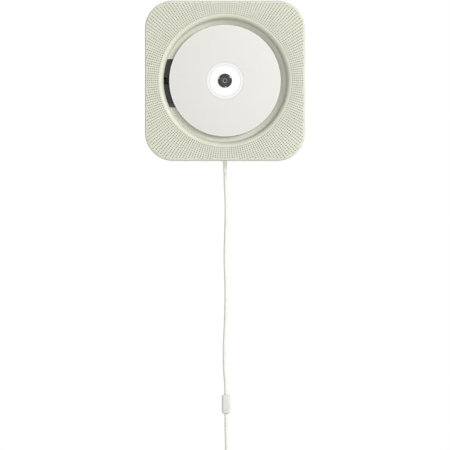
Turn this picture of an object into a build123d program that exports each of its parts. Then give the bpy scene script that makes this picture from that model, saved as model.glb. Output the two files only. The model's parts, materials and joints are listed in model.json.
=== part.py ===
"""Wall mounted CD player with an open disc, a spring-ball chuck and a pull-cord switch.

Millimetres. +Z is up and the player faces -Y. The origin is on the wall, in the middle of the
bracket's screw holes, level with the disc's axis. A "level" is a distance from the wall, so a
larger level is nearer to the listener.
"""
import os
from math import cos, hypot, pi, radians, sin, sqrt, tan

from build123d import *

os.makedirs("parts", exist_ok=True)

# ---------------------------------------------------------------- driving dimensions
# Case
body_width = 172.0
body_height = 172.0
body_depth = 41.0
corner_radius = 30.0
outer_edge_radius = 1.8
side_wall = 2.2
front_plate = 2.4
rear_plate = 2.2
seam_level = 10.0
seam_chamfer = 0.4
wall_gap = 0.5
corner_screw_inset = 20.0
side_screw_inset = 7.5
side_screw_drop = 8.0

# Disc recess, its rounded lip, and the pickup window in its floor
finger_gap = 6.3
recess_depth = 9.5
recess_draft = 7.0
lip_radius = 3.8
recess_wall = 2.2
recess_floor = 2.2
window_top = 23.3
window_bottom = -28.6
window_right = 20.0
window_corner = 4.0

# Radial rows of the front, and the speakers behind the lower corners
row_count = 200
row_inner_border = 0.3
row_border = 2.2
row_width = 0.9
row_depth = 0.6
speaker_collar = 1.4
speaker_cup_gap = 3.2
speaker_corner_gap = 0.5
cone_margin = 4.0
cone_depth = 3.6
cone_back_gap = 1.4
cone_sheet = 0.5
basket_depth = 8.6
basket_foot_inset = 1.8
magnet_inset = 2.5
magnet_length = 6.8
magnet_gap = 0.4
voice_coil_radius = 4.6
voice_coil_wall = 0.4
voice_coil_reach = 1.4
surround_width = 1.7

# Disc and chuck
disc_radius = 60.0
disc_hole_radius = 7.5
disc_thickness = 1.2
disc_float = 2.9
stacking_ring_radius = 16.7
turntable_radius = 15.5
mat_thickness = 0.5
hub_height = 3.8
hub_chamfer = 2.0
ball_count = 3
ball_radius = 1.2
ball_first_angle = 36.0
ball_travel = 0.6
ball_drop = 2.0
ball_gap = 0.1
spring_start_radius = 2.6
spring_radius = 0.9
spring_wire = 0.4
shaft_radius = 1.0
collar_radius = 2.2
collar_seat = 0.9
collar_proud = 0.4

# Pickup mechanism
deck_right = 24.0
deck_top = 29.0
deck_bottom = -33.0
deck_plate = 1.8
deck_gap = 0.7
skirt_wall = 1.8
skirt_height = 7.8
lens_slot_height = 7.5
lens_slot_end = 9.5
lens_slot_start = 4.5
spindle_hole_radius = 6.0
ear_left_x = -50.0
ear_right_x = 16.0
ear_reach = 5.8
strip_top = -24.1
strip_bottom = -28.4
strip_right = -40.0
strip_inset = 5.0
lens_inner_radius = 23.0
lens_edge_margin = 1.5
focus_travel = 0.6
sled_reach_left = 13.0
sled_reach_right = 8.0
sled_end_gap = 0.7
rod_radius = 1.5
rod_spacing = 38.0
screw_axis_z = -26.5
lead_screw_radius = 1.6
screw_pin_radius = 0.8
sled_rod_margin = 3.0
nut_margin = 3.5
nut_width = 8.0
sled_motor_radius = 4.2
sled_motor_face_x = 2.0
spindle_motor_radius = 11.5
spindle_motor_clearance = 2.6
motor_boss_radius = 3.0
motor_boss_height = 1.4
lens_radius = 2.2
holder_radius = 3.0
holder_gap = 0.6
holder_foot = 5.0

# Wall bracket
bracket_width = 60.0
bracket_height = 46.0
bracket_plate = 1.5
bracket_hole_radius = 2.25
bracket_hole_spacing_x = 44.0
bracket_hole_spacing_z = 30.0
hook_spacing = 20.0
hook_width = 8.0
hook_rise = 6.0
hook_top = 5.0
pocket_depth = 3.5
pocket_margin = 2.5
pocket_wall = 2.5
lift_travel = 8.0

# Keys on the top edge
key_spacing = 16.0
key_inset = 26.0
key_length = 11.0
key_width = 5.0
key_proud = 0.6
key_travel = 0.8
key_flange = 1.2
key_depth = 7.8
display_length = 26.0
display_width = 9.0
display_ledge = 0.8
ledge_width = 1.5

# Pull cord and leads
cord_radius = 1.8
cord_level = 16.0
sleeve_radius = 2.6
sleeve_drop = 12.0
sleeve_seat = 3.0
pull_travel = 5.0
connector_top = -338.3
connector_width = 9.2
connector_depth = 7.4
socket_length = 16.7
plug_length = 4.4
coil_centre_z = -430.0
coil_radius = 24.0
coil_layers = 4
coil_half_turns = 4
coil_pitch = 4.1
adapter_width = 34.0
adapter_height = 45.0
adapter_depth = 24.0
adapter_top_z = -470.0
adapter_relief = 11.0
blade_spacing = 12.7
blade_length = 17.0
blade_width = 6.3
blade_sheet = 1.5
blade_seat = 3.0

# Board, its chips and its capacitors
board_side_margin = 31.0
board_end_margin = 36.0
board_hole_inset = 5.0
board_post_radius = 3.0
chip_size = 14.0
chip_height = 1.5
capacitor_radius = 4.0
capacitor_height = 3.6

# Screws: shank radius, head radius, head height
case_screw_radius = 1.5
case_screw_head_radius = 2.9
case_screw_head = 2.0
case_screw_grip = 3.2
case_screw_bite = 10.0
deck_screw_radius = 1.0
deck_screw_head_radius = 3.2
deck_screw_head = 1.4
deck_screw_bite = 4.5
board_screw_radius = 1.2
board_screw_head_radius = 2.4
board_screw_head = 1.5
cross_width = 0.6

# Clearances
slide_gap = 0.3
running_gap = 0.05
seat_gap = 0.2
press_gap = 0.02

# ---------------------------------------------------------------- derived sizes
half_width = body_width / 2
half_height = body_height / 2
corner_x = half_width - corner_radius
corner_z = half_height - corner_radius
recess_radius = disc_radius + finger_gap
floor_level = body_depth - recess_depth
floor_back = floor_level - recess_floor
plate_back = body_depth - front_plate

# the recess wall leans outward by its draft and meets the lip's quarter round
draft = radians(recess_draft)
lip_centre_level = body_depth - lip_radius
lip_start_level = lip_centre_level + lip_radius * sin(draft)
lip_start_radius = recess_radius + (lip_start_level - floor_level) * tan(draft)
lip_centre_radius = lip_start_radius + lip_radius * cos(draft)
cup_foot_radius = (
    recess_radius + recess_wall * cos(draft) - (recess_floor - recess_wall * sin(draft)) * tan(draft)
)
cup_round = lip_radius - recess_wall

cover_back = wall_gap
cover_floor = wall_gap + rear_plate

disc_level = floor_level + disc_float
hub_radius = disc_hole_radius - 0.1
hub_top = disc_level + hub_height
mat_level = disc_level - running_gap
turntable_top = mat_level - mat_thickness
turntable_back = turntable_top - 1.8
ball_centre_radius = hub_radius - running_gap - ball_radius
ball_level = hub_top - ball_drop

lens_travel = disc_radius - lens_edge_margin - lens_inner_radius
sled_left = -lens_inner_radius - sled_reach_left
sled_right = -lens_inner_radius + sled_reach_right
deck_left = sled_left - lens_travel - sled_end_gap - skirt_wall
deck_face = floor_back - deck_gap
deck_back = deck_face - deck_plate
skirt_end = deck_back - skirt_height
rod_level = deck_back - 4.3
screw_level = rod_level
lens_top = disc_level - 2.1
sled_top = deck_back - 1.2
sled_bottom = skirt_end - 2.0

pocket_floor = wall_gap + pocket_depth
pocket_back = pocket_floor + rear_plate
board_level = 10.6
board_plate = 1.6
board_top = board_level + board_plate
spindle_motor_length = deck_back - board_top - spindle_motor_clearance

# the speakers fill the space between the recess cup and the rounded corners
row_start_radius = lip_centre_radius + row_inner_border
corner_distance = hypot(corner_x, corner_z)
cup_reach = recess_radius + recess_wall
corner_reach = corner_distance + corner_radius - side_wall
speaker_space = corner_reach - speaker_corner_gap - cup_reach - speaker_cup_gap
speaker_radius = speaker_space / 2 - speaker_collar
speaker_centre = cup_reach + speaker_cup_gap + speaker_space / 2
cone_radius = speaker_radius - cone_margin

top_inside = half_height - side_wall
bottom_inside = -top_inside
control_board_z = top_inside - key_depth
control_board_plate = 1.6
tact_body = 2.6
tact_plunger = 0.9
key_level = 22.0
key_foot_z = control_board_z + control_board_plate + tact_body + tact_plunger + seat_gap + key_travel

body_bottom = -half_height
sleeve_end_z = body_bottom - sleeve_drop


def front_plane(level):
    """Plane parallel to the wall at a level, seen from the front."""
    return Plane.XZ.offset(level)


def section_plane(x=0.0, z=0.0):
    """Plane for profiles of (radius, level) about an axis square to the wall."""
    return Plane(origin=(x, 0, z), x_dir=(1, 0, 0), z_dir=(0, 0, -1))


def section_axis(x=0.0, z=0.0):
    """Axis square to the wall through (x, z)."""
    return Axis((x, 0, z), (0, -1, 0))


def finish(part, label):
    """Name a finished piece and write its file."""
    part.label = label
    export_step(part, f"parts/{label}.step")


def round_tube(points, tube_radius, label):
    """Cord along straight runs that meet in arcs as large as the runs allow."""
    bends = []
    for before, corner, after in zip(points, points[1:], points[2:]):
        run_in = Vector(*corner) - Vector(*before)
        run_out = Vector(*after) - Vector(*corner)
        turn = radians(run_in.get_angle(run_out))
        bends.append(0.45 * min(run_in.length, run_out.length) / tan(turn / 2))
    print(label, "bend radii", [round(bend) for bend in bends])
    with BuildPart() as tube:
        with BuildLine() as path:
            FilletPolyline(*points, radius=bends)
        with BuildSketch(Plane(origin=path.wires()[0] @ 0, z_dir=path.wires()[0] % 0)):
            Circle(tube_radius)
        sweep()
    length = path.wires()[0].length
    share = tube.part.volume / (pi * tube_radius**2 * length)
    print(label, "length", round(length, 1), "volume over section times length", round(share, 4))
    return tube.part


# ---------------------------------------------------------------- places shared by several pieces
case_screw_places = [
    (-half_width + corner_screw_inset, half_height - corner_screw_inset),
    (half_width - corner_screw_inset, half_height - corner_screw_inset),
    (-half_width + side_screw_inset, deck_bottom - side_screw_drop),
    (half_width - side_screw_inset, deck_bottom - side_screw_drop),
]
case_boss_radius = 4.0
boss_collar = 0.6
case_screw_seat = seam_level - case_screw_grip
case_screw_tip = seam_level + case_screw_bite

ear_radius = 5.2
deck_ears = [
    (ear_left_x, deck_top + ear_reach),
    (ear_right_x, deck_top + ear_reach),
    (ear_left_x, deck_bottom - ear_reach),
    (ear_right_x, deck_bottom - ear_reach),
]
damper_flange = 1.0
damper_waist_radius = 2.6
damper_flange_radius = 4.2
ear_top = skirt_end + deck_plate
deck_boss_end = ear_top + damper_flange
deck_screw_seat = skirt_end - damper_flange
deck_boss_radius = 3.5

rod_places = [rod_spacing / 2, -rod_spacing / 2]

board_width = body_width - 2 * board_side_margin
board_height = body_height - 2 * board_end_margin
board_holes_x = board_width - 2 * board_hole_inset
board_holes_z = board_height - 2 * board_hole_inset

stake_x = corner_x + 2.0
stake_radius = 2.5
stake_pin_radius = 1.2
stake_head = 0.8
key_first_x = corner_x - key_inset
key_places = {
    "skip_back_button": -key_first_x - key_spacing,
    "skip_forward_button": -key_first_x,
    "volume_down_button": key_first_x,
    "volume_up_button": key_first_x + key_spacing,
}

slider_width = 14.0
slider_length = 12.0
slider_bottom_z = body_bottom + 14.0
slider_top_z = slider_bottom_z + slider_length
slider_back = 9.5
slider_front = 22.5
rail_wall = 1.6
grommet_radius = 4.1
grommet_flange = 1.0

speaker_x_offset = speaker_centre * corner_x / corner_distance
speaker_z = -speaker_centre * corner_z / corner_distance
speaker_places = {"left": -speaker_x_offset, "right": speaker_x_offset}
speaker_flange = 1.2
speaker_flange_back = plate_back - speaker_flange
speaker_basket_end = speaker_flange_back - basket_depth

# ---------------------------------------------------------------- wall bracket
hook_front = pocket_back + slide_gap + 1.5
with BuildPart() as wall_bracket:
    with BuildSketch(front_plane(0)):
        RectangleRounded(bracket_width, bracket_height, 4)
        with GridLocations(bracket_hole_spacing_x, bracket_hole_spacing_z, 2, 2):
            Circle(bracket_hole_radius, mode=Mode.SUBTRACT)
    extrude(amount=bracket_plate)
    # each hook is a tongue that stands out of the plate and turns up behind the cover
    for hook_x in (-hook_spacing / 2, hook_spacing / 2):
        with BuildSketch(Plane.YZ.offset(hook_x)):
            with BuildLine():
                Polyline(
                    (-bracket_plate, hook_top - bracket_plate),
                    (-hook_front, hook_top - bracket_plate),
                    (-hook_front, hook_top + hook_rise),
                    (-hook_front + 1.5, hook_top + hook_rise),
                    (-hook_front + 1.5, hook_top),
                    (-bracket_plate, hook_top),
                    close=True,
                )
            make_face()
        extrude(amount=hook_width / 2, both=True)
finish(wall_bracket.part, "wall_bracket")

# ---------------------------------------------------------------- rear cover
window_width = hook_width + 3.0
window_height = bracket_plate + lift_travel + 2.0
window_ceiling_z = hook_top + seat_gap
pocket_width = bracket_width + 2 * pocket_margin
pocket_height = bracket_height + 2 * pocket_margin + lift_travel
pocket_centre_z = -lift_travel / 2
with BuildPart() as rear_cover:
    with BuildSketch(front_plane(cover_back)):
        RectangleRounded(body_width, body_height, corner_radius)
    extrude(amount=seam_level - cover_back)
    back_edges = rear_cover.faces().sort_by(Axis.Y)[-1].edges()
    fillet(back_edges, outer_edge_radius)
    seam_edges = rear_cover.faces().sort_by(Axis.Y)[0].edges()
    chamfer(seam_edges, seam_chamfer)
    with BuildSketch(front_plane(cover_floor)):
        RectangleRounded(
            body_width - 2 * side_wall, body_height - 2 * side_wall, corner_radius - side_wall
        )
    extrude(amount=seam_level - cover_floor, mode=Mode.SUBTRACT)
    # the bracket's pocket is pressed into the tray, with room below for lifting off the hooks
    with BuildSketch(front_plane(cover_floor)):
        with Locations((0, pocket_centre_z)):
            RectangleRounded(pocket_width + 2 * pocket_wall, pocket_height + 2 * pocket_wall, 6)
    extrude(amount=pocket_back - cover_floor)
    with BuildSketch(front_plane(cover_back)):
        with Locations((0, pocket_centre_z)):
            RectangleRounded(pocket_width, pocket_height, 4)
    extrude(amount=pocket_floor - cover_back, mode=Mode.SUBTRACT)
    with BuildSketch(front_plane(pocket_floor)):
        with Locations(
            (-hook_spacing / 2, window_ceiling_z - window_height / 2),
            (hook_spacing / 2, window_ceiling_z - window_height / 2),
        ):
            Rectangle(window_width, window_height)
    extrude(amount=rear_plate, mode=Mode.SUBTRACT)
    # screw tubes, bored and counterbored from behind
    with BuildSketch(front_plane(cover_floor)):
        with Locations(*case_screw_places):
            Circle(case_boss_radius + boss_collar)
    extrude(amount=seam_level - running_gap - cover_floor)
    with BuildSketch(front_plane(cover_back)):
        with Locations(*case_screw_places):
            Circle(case_screw_head_radius + slide_gap)
    extrude(amount=case_screw_seat - cover_back, mode=Mode.SUBTRACT)
    with BuildSketch(front_plane(cover_back)):
        with Locations(*case_screw_places):
            Circle(case_screw_radius + seat_gap)
    extrude(amount=seam_level, mode=Mode.SUBTRACT)
    # posts under the circuit board
    with BuildSketch(front_plane(cover_floor)):
        with GridLocations(board_holes_x, board_holes_z, 2, 2):
            Circle(board_post_radius)
    extrude(amount=board_level - cover_floor)
    with BuildSketch(front_plane(cover_floor + 1)):
        with GridLocations(board_holes_x, board_holes_z, 2, 2):
            Circle(board_screw_radius + running_gap)
    extrude(amount=board_level - cover_floor, mode=Mode.SUBTRACT)
    # rails and stop of the pull slider
    rail_centre_z = (slider_top_z + slider_bottom_z - pull_travel) / 2
    rail_length = slider_top_z - slider_bottom_z + pull_travel
    with BuildSketch(front_plane(cover_floor)):
        with Locations(
            (-(slider_width + rail_wall) / 2 - slide_gap, rail_centre_z),
            ((slider_width + rail_wall) / 2 + slide_gap, rail_centre_z),
        ):
            Rectangle(rail_wall, rail_length)
        with Locations((0, slider_top_z + seat_gap + rail_wall / 2)):
            Rectangle(slider_width + 2 * rail_wall + 2 * slide_gap, rail_wall)
    extrude(amount=slider_front - 3 - cover_floor)
finish(rear_cover.part, "rear_cover")

# ---------------------------------------------------------------- front panel
with BuildPart() as front_panel:
    with BuildSketch(front_plane(seam_level)):
        RectangleRounded(body_width, body_height, corner_radius)
    extrude(amount=body_depth - seam_level)
    front_edges = front_panel.faces().sort_by(Axis.Y)[0].edges()
    fillet(front_edges, outer_edge_radius)
    with BuildSketch(front_plane(seam_level)):
        RectangleRounded(
            body_width - 2 * side_wall, body_height - 2 * side_wall, corner_radius - side_wall
        )
    extrude(amount=plate_back - seam_level, mode=Mode.SUBTRACT)
    # round cup of the recess, which swells into the front plate
    with BuildSketch(section_plane()):
        with BuildLine():
            cup_side = Line(
                (cup_foot_radius, floor_back),
                (
                    lip_centre_radius - cup_round * cos(draft),
                    lip_centre_level + cup_round * sin(draft),
                ),
            )
            TangentArc(
                cup_side @ 1,
                (lip_centre_radius, lip_centre_level + cup_round),
                tangent=cup_side % 1,
            )
            Polyline(
                (lip_centre_radius, lip_centre_level + cup_round),
                (lip_centre_radius, body_depth - 0.01),
                (0, body_depth - 0.01),
                (0, floor_back),
                (cup_foot_radius, floor_back),
            )
        make_face()
    revolve(axis=section_axis())
    # the recess itself, with its rounded lip
    with BuildSketch(section_plane()):
        with BuildLine():
            side = Line((recess_radius, floor_level), (lip_start_radius, lip_start_level))
            TangentArc(side @ 1, (lip_centre_radius, body_depth), tangent=side % 1)
            Polyline(
                (lip_centre_radius, body_depth),
                (lip_centre_radius, body_depth + 1),
                (0, body_depth + 1),
                (0, floor_level),
                (recess_radius, floor_level),
            )
        make_face()
    revolve(axis=section_axis(), mode=Mode.SUBTRACT)
    # pickup window, which ends at the recess wall
    with BuildSketch(front_plane(floor_back)):
        with Locations(((window_right - recess_radius - 10) / 2, (window_top + window_bottom) / 2)):
            RectangleRounded(
                window_right + recess_radius + 10, window_top - window_bottom, window_corner
            )
        Circle(recess_radius, mode=Mode.INTERSECT)
    extrude(amount=recess_floor, mode=Mode.SUBTRACT)
    # collars that hold the speakers
    with BuildSketch(front_plane(plate_back - 3)):
        with Locations(*[(x, speaker_z) for x in speaker_places.values()]):
            Circle(speaker_radius + speaker_collar)
            Circle(speaker_radius + running_gap, mode=Mode.SUBTRACT)
    extrude(amount=3)
    # bosses for the case screws and for the mechanism
    with BuildSketch(front_plane(seam_level)):
        with Locations(*case_screw_places):
            Circle(case_boss_radius)
    extrude(amount=plate_back - seam_level)
    with BuildSketch(front_plane(seam_level)):
        with Locations(*case_screw_places):
            Circle(case_screw_radius + running_gap)
    extrude(amount=case_screw_tip + 1 - seam_level, mode=Mode.SUBTRACT)
    with BuildSketch(front_plane(deck_boss_end)):
        with Locations(*deck_ears):
            Circle(deck_boss_radius)
            Circle(deck_screw_radius + running_gap, mode=Mode.SUBTRACT)
    extrude(amount=floor_back - deck_boss_end)
    # hole in the lower edge for the cord, holes in the upper edge for the keys and the display
    with BuildSketch(Plane.XY.offset(body_bottom)):
        with Locations((0, -cord_level)):
            Circle(grommet_radius + running_gap)
    extrude(amount=side_wall, mode=Mode.SUBTRACT)
    with BuildSketch(Plane.XY.offset(top_inside)):
        with Locations(*[(x, -key_level) for x in key_places.values()]):
            SlotOverall(key_length + 2 * slide_gap, key_width + 2 * slide_gap)
        with Locations((0, -key_level)):
            RectangleRounded(display_length + seat_gap, display_width + seat_gap, 1.6)
    extrude(amount=side_wall, mode=Mode.SUBTRACT)
    # stakes that carry the board under the keys
    with BuildSketch(Plane.XY.offset(control_board_z + control_board_plate)):
        with Locations((-stake_x, -key_level), (stake_x, -key_level)):
            Circle(stake_radius)
    extrude(amount=top_inside - control_board_z - control_board_plate)
    with BuildSketch(Plane.XY.offset(control_board_z - stake_head)):
        with Locations((-stake_x, -key_level), (stake_x, -key_level)):
            Circle(stake_pin_radius)
    extrude(amount=control_board_plate + stake_head)
    # radial rows over the whole frame, and open slots where they cross a speaker
    with BuildSketch(front_plane(body_depth - row_depth)) as rows:
        with PolarLocations(row_start_radius, row_count):
            Rectangle(half_width, row_width, align=(Align.MIN, Align.CENTER))
        with BuildSketch(front_plane(body_depth - row_depth), mode=Mode.PRIVATE) as frame_area:
            RectangleRounded(
                body_width - 2 * row_border, body_height - 2 * row_border, corner_radius - row_border
            )
        add(frame_area.sketch, mode=Mode.INTERSECT)
    extrude(amount=row_depth, mode=Mode.SUBTRACT)
    with BuildSketch(front_plane(plate_back)) as slots:
        with PolarLocations(row_start_radius, row_count):
            Rectangle(half_width, row_width, align=(Align.MIN, Align.CENTER))
        with BuildSketch(front_plane(plate_back), mode=Mode.PRIVATE) as speaker_areas:
            with Locations(*[(x, speaker_z) for x in speaker_places.values()]):
                Circle(cone_radius)
        add(speaker_areas.sketch, mode=Mode.INTERSECT)
    extrude(amount=front_plate, mode=Mode.SUBTRACT)
finish(front_panel.part, "front_panel")

# ---------------------------------------------------------------- case screws
with BuildPart() as case_screws:
    with BuildSketch(front_plane(case_screw_seat - case_screw_head)):
        with Locations(*case_screw_places):
            Circle(case_screw_head_radius)
    extrude(amount=case_screw_head)
    with BuildSketch(front_plane(case_screw_seat)):
        with Locations(*case_screw_places):
            Circle(case_screw_radius)
    extrude(amount=case_screw_tip - case_screw_seat)
    with BuildSketch(front_plane(case_screw_seat - case_screw_head)):
        with Locations(*case_screw_places):
            Rectangle(case_screw_head_radius, cross_width)
            Rectangle(cross_width, case_screw_head_radius)
    extrude(amount=case_screw_head / 2, mode=Mode.SUBTRACT)
finish(case_screws.part, "case_screws")

# ---------------------------------------------------------------- mechanism deck
deck_centre_x = (deck_left + deck_right) / 2
deck_centre_z = (deck_top + deck_bottom) / 2
deck_width = deck_right - deck_left
deck_height = deck_top - deck_bottom
strip_left = deck_left + strip_inset
strip_centre = ((strip_left + strip_right) / 2, (strip_top + strip_bottom) / 2)
strip_width = strip_right - strip_left
strip_height = strip_top - strip_bottom
slot_left = -lens_inner_radius - lens_travel - lens_slot_end
slot_right = -lens_inner_radius + lens_slot_start
with BuildPart() as mechanism_deck:
    with BuildSketch(front_plane(skirt_end)):
        with Locations((deck_centre_x, deck_centre_z)):
            RectangleRounded(deck_width, deck_height, 4)
    extrude(amount=deck_face - skirt_end)
    face_edges = mechanism_deck.faces().sort_by(Axis.Y)[0].edges()
    fillet(face_edges, 0.8)
    with BuildSketch(front_plane(skirt_end)):
        with Locations((deck_centre_x, deck_centre_z)):
            RectangleRounded(deck_width - 2 * skirt_wall, deck_height - 2 * skirt_wall, 1)
    extrude(amount=deck_back - skirt_end, mode=Mode.SUBTRACT)
    # lens slot, spindle hole and the opening under the grey strip
    with BuildSketch(front_plane(deck_back)):
        with Locations(((slot_left + slot_right) / 2, 0)):
            Rectangle(slot_right - slot_left, lens_slot_height)
        Circle(spindle_hole_radius)
        with Locations(strip_centre):
            Rectangle(strip_width + seat_gap, strip_height + seat_gap)
    extrude(amount=deck_plate, mode=Mode.SUBTRACT)
    # ears outside the skirt, with holes for the dampers
    with BuildSketch(front_plane(skirt_end)):
        with Locations(*deck_ears):
            Circle(ear_radius)
        with Locations(*[(x, z + (ear_reach if z < 0 else -ear_reach) / 2) for x, z in deck_ears]):
            Rectangle(2 * ear_radius, ear_reach)
        with Locations((deck_centre_x, deck_centre_z)):
            Rectangle(deck_width - 2, deck_height - 2, mode=Mode.SUBTRACT)
        with Locations(*deck_ears):
            Circle(damper_waist_radius + running_gap, mode=Mode.SUBTRACT)
    extrude(amount=deck_plate)
    # seats of the guide rods and of the lead screw in the two ends
    with BuildSketch(Plane.YZ.offset(deck_left)):
        with Locations(*[(-rod_level, z) for z in rod_places]):
            Circle(rod_radius + press_gap)
    extrude(amount=deck_width, mode=Mode.SUBTRACT)
    with BuildSketch(Plane.YZ.offset(deck_left)):
        with Locations((-screw_level, screw_axis_z)):
            Circle(screw_pin_radius)
    extrude(amount=skirt_wall, mode=Mode.SUBTRACT)
finish(mechanism_deck.part, "mechanism_deck")

with BuildPart() as screw_cover:
    with BuildSketch(front_plane(deck_back + seat_gap)):
        with Locations(strip_centre):
            Rectangle(strip_width, strip_height)
    extrude(amount=deck_plate)
    fillet(screw_cover.faces().sort_by(Axis.Y)[0].edges(), 0.5)
finish(screw_cover.part, "screw_cover")

with BuildPart() as deck_dampers:
    for ear_x, ear_z in deck_ears:
        with BuildSketch(section_plane(ear_x, ear_z)):
            with BuildLine():
                Polyline(
                    (deck_screw_radius + running_gap, skirt_end - damper_flange),
                    (damper_flange_radius, skirt_end - damper_flange),
                    (damper_flange_radius, skirt_end),
                    (damper_waist_radius, skirt_end),
                    (damper_waist_radius, ear_top),
                    (damper_flange_radius, ear_top),
                    (damper_flange_radius, deck_boss_end),
                    (deck_screw_radius + running_gap, deck_boss_end),
                    close=True,
                )
            make_face()
        revolve(axis=section_axis(ear_x, ear_z))
finish(deck_dampers.part, "deck_dampers")

with BuildPart() as deck_screws:
    with BuildSketch(front_plane(deck_screw_seat - deck_screw_head)):
        with Locations(*deck_ears):
            Circle(deck_screw_head_radius)
    extrude(amount=deck_screw_head)
    with BuildSketch(front_plane(deck_screw_seat)):
        with Locations(*deck_ears):
            Circle(deck_screw_radius)
    extrude(amount=deck_boss_end + deck_screw_bite - deck_screw_seat)
    with BuildSketch(front_plane(deck_screw_seat - deck_screw_head)):
        with Locations(*deck_ears):
            Rectangle(deck_screw_head_radius, cross_width)
            Rectangle(cross_width, deck_screw_head_radius)
    extrude(amount=deck_screw_head / 2, mode=Mode.SUBTRACT)
finish(deck_screws.part, "deck_screws")

with BuildPart() as guide_rods:
    with BuildSketch(Plane.YZ.offset(deck_left + 0.5)):
        with Locations(*[(-rod_level, z) for z in rod_places]):
            Circle(rod_radius)
    extrude(amount=deck_width - 1)
finish(guide_rods.part, "guide_rods")

# ---------------------------------------------------------------- pickup drive
with BuildPart() as lead_screw:
    with BuildSketch(Plane.YZ.offset(deck_left + skirt_wall + seat_gap)):
        with Locations((-screw_level, screw_axis_z)):
            Circle(lead_screw_radius)
    extrude(amount=sled_motor_face_x - deck_left - skirt_wall - 2 * seat_gap)
    with BuildSketch(Plane.YZ.offset(deck_left + 2 * seat_gap)):
        with Locations((-screw_level, screw_axis_z)):
            Circle(screw_pin_radius - running_gap)
    extrude(amount=skirt_wall + seat_gap)
    with BuildSketch(Plane.YZ.offset(sled_motor_face_x - seat_gap)):
        with Locations((-screw_level, screw_axis_z)):
            Circle(screw_pin_radius - running_gap)
    extrude(amount=sled_motor_radius)
finish(lead_screw.part, "lead_screw")

with BuildPart() as sled_motor:
    with BuildSketch(Plane.YZ.offset(sled_motor_face_x)):
        with Locations((-screw_level, screw_axis_z)):
            Circle(sled_motor_radius)
            Circle(screw_pin_radius, mode=Mode.SUBTRACT)
    extrude(amount=deck_right - skirt_wall - slide_gap - sled_motor_face_x)
    rim = sled_motor.faces().sort_by(Axis.X)[-1].edges().sort_by(SortBy.RADIUS)[-1]
    chamfer(rim, 0.8)
finish(sled_motor.part, "sled_motor")

sled_half_height = rod_spacing / 2 + sled_rod_margin
sled_centre_x = (sled_left + sled_right) / 2
sled_width = sled_right - sled_left
nut_top = 1 - sled_half_height
nut_bottom = screw_axis_z - nut_margin
rod_slot = 2 * (rod_radius + running_gap)
well_level = sled_bottom + holder_foot
face_pocket_z = 10.0
face_pocket_width = 6.0
face_pocket_depth = 2.5
with BuildPart() as pickup_sled:
    with BuildSketch(front_plane(sled_bottom)):
        with Locations((sled_centre_x, 0)):
            RectangleRounded(sled_width, 2 * sled_half_height, 2)
    extrude(amount=sled_top - sled_bottom)
    chamfer(pickup_sled.faces().sort_by(Axis.Y)[-1].edges(), 1)
    # nut round the lead screw
    with BuildSketch(front_plane(rod_level - sled_rod_margin)):
        with Locations((-lens_inner_radius - nut_width / 2, (nut_bottom + nut_top) / 2)):
            Rectangle(nut_width, nut_top - nut_bottom)
    extrude(amount=2 * sled_rod_margin)
    # bore on the upper rod, fork on the lower one, bore on the lead screw
    with BuildSketch(Plane.YZ.offset(sled_left)):
        with Locations((-screw_level, screw_axis_z)):
            Circle(lead_screw_radius + running_gap)
        with Locations((-rod_level, rod_places[0])):
            Circle(rod_radius + running_gap)
        with Locations((-rod_level, rod_places[1] - sled_rod_margin)):
            Rectangle(rod_slot, 2 * sled_rod_margin + rod_slot)
    extrude(amount=sled_width, mode=Mode.SUBTRACT)
    # well for the lens holder, and the cast pockets in the face
    with BuildSketch(front_plane(well_level)):
        with Locations((-lens_inner_radius, 0)):
            Circle(holder_radius + holder_gap)
    extrude(amount=sled_top - well_level, mode=Mode.SUBTRACT)
    with BuildSketch(front_plane(sled_top - face_pocket_depth)):
        with Locations((sled_centre_x, face_pocket_z), (sled_centre_x, -face_pocket_z)):
            RectangleRounded(sled_width - face_pocket_width, face_pocket_width, 1.5)
    extrude(amount=face_pocket_depth, mode=Mode.SUBTRACT)
finish(pickup_sled.part, "pickup_sled")

lens_seat = lens_top - 1.2
holder_back = well_level + focus_travel + slide_gap
with BuildPart() as lens_holder:
    with BuildSketch(section_plane(-lens_inner_radius)):
        with BuildLine():
            Polyline(
                (0, holder_back),
                (holder_radius, holder_back),
                (holder_radius, lens_top - 0.6),
                (holder_radius - 0.4, lens_top - 0.2),
                (lens_radius + running_gap, lens_top - 0.2),
                (lens_radius + running_gap, lens_seat),
                (0, lens_seat),
                close=True,
            )
        make_face()
    revolve(axis=section_axis(-lens_inner_radius))
finish(lens_holder.part, "lens_holder")

with BuildPart() as objective_lens:
    with BuildSketch(section_plane(-lens_inner_radius)):
        with BuildLine():
            Line((0, lens_seat), (lens_radius, lens_seat))
            Line((lens_radius, lens_seat), (lens_radius, lens_top - 0.5))
            TangentArc((0, lens_top), (lens_radius, lens_top - 0.5), tangent=(1, 0))
            Line((0, lens_top), (0, lens_seat))
        make_face()
    revolve(axis=section_axis(-lens_inner_radius))
finish(objective_lens.part, "objective_lens")

# ---------------------------------------------------------------- spindle
motor_back = deck_back - spindle_motor_length
motor_boss_top = deck_back + motor_boss_height
with BuildPart() as spindle_motor:
    with BuildSketch(section_plane()):
        with BuildLine():
            Polyline(
                (shaft_radius + running_gap, motor_back),
                (spindle_motor_radius - 1.2, motor_back),
                (spindle_motor_radius, motor_back + 1.2),
                (spindle_motor_radius, deck_back),
                (motor_boss_radius, deck_back),
                (motor_boss_radius, motor_boss_top),
                (shaft_radius + running_gap, motor_boss_top),
                close=True,
            )
        make_face()
    revolve(axis=section_axis())
finish(spindle_motor.part, "spindle_motor")

shaft_top = hub_top + 0.1
with BuildPart() as spindle_shaft:
    with BuildSketch(front_plane(motor_back + slide_gap)):
        Circle(shaft_radius)
    extrude(amount=shaft_top - motor_back - slide_gap)
finish(spindle_shaft.part, "spindle_shaft")

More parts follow.
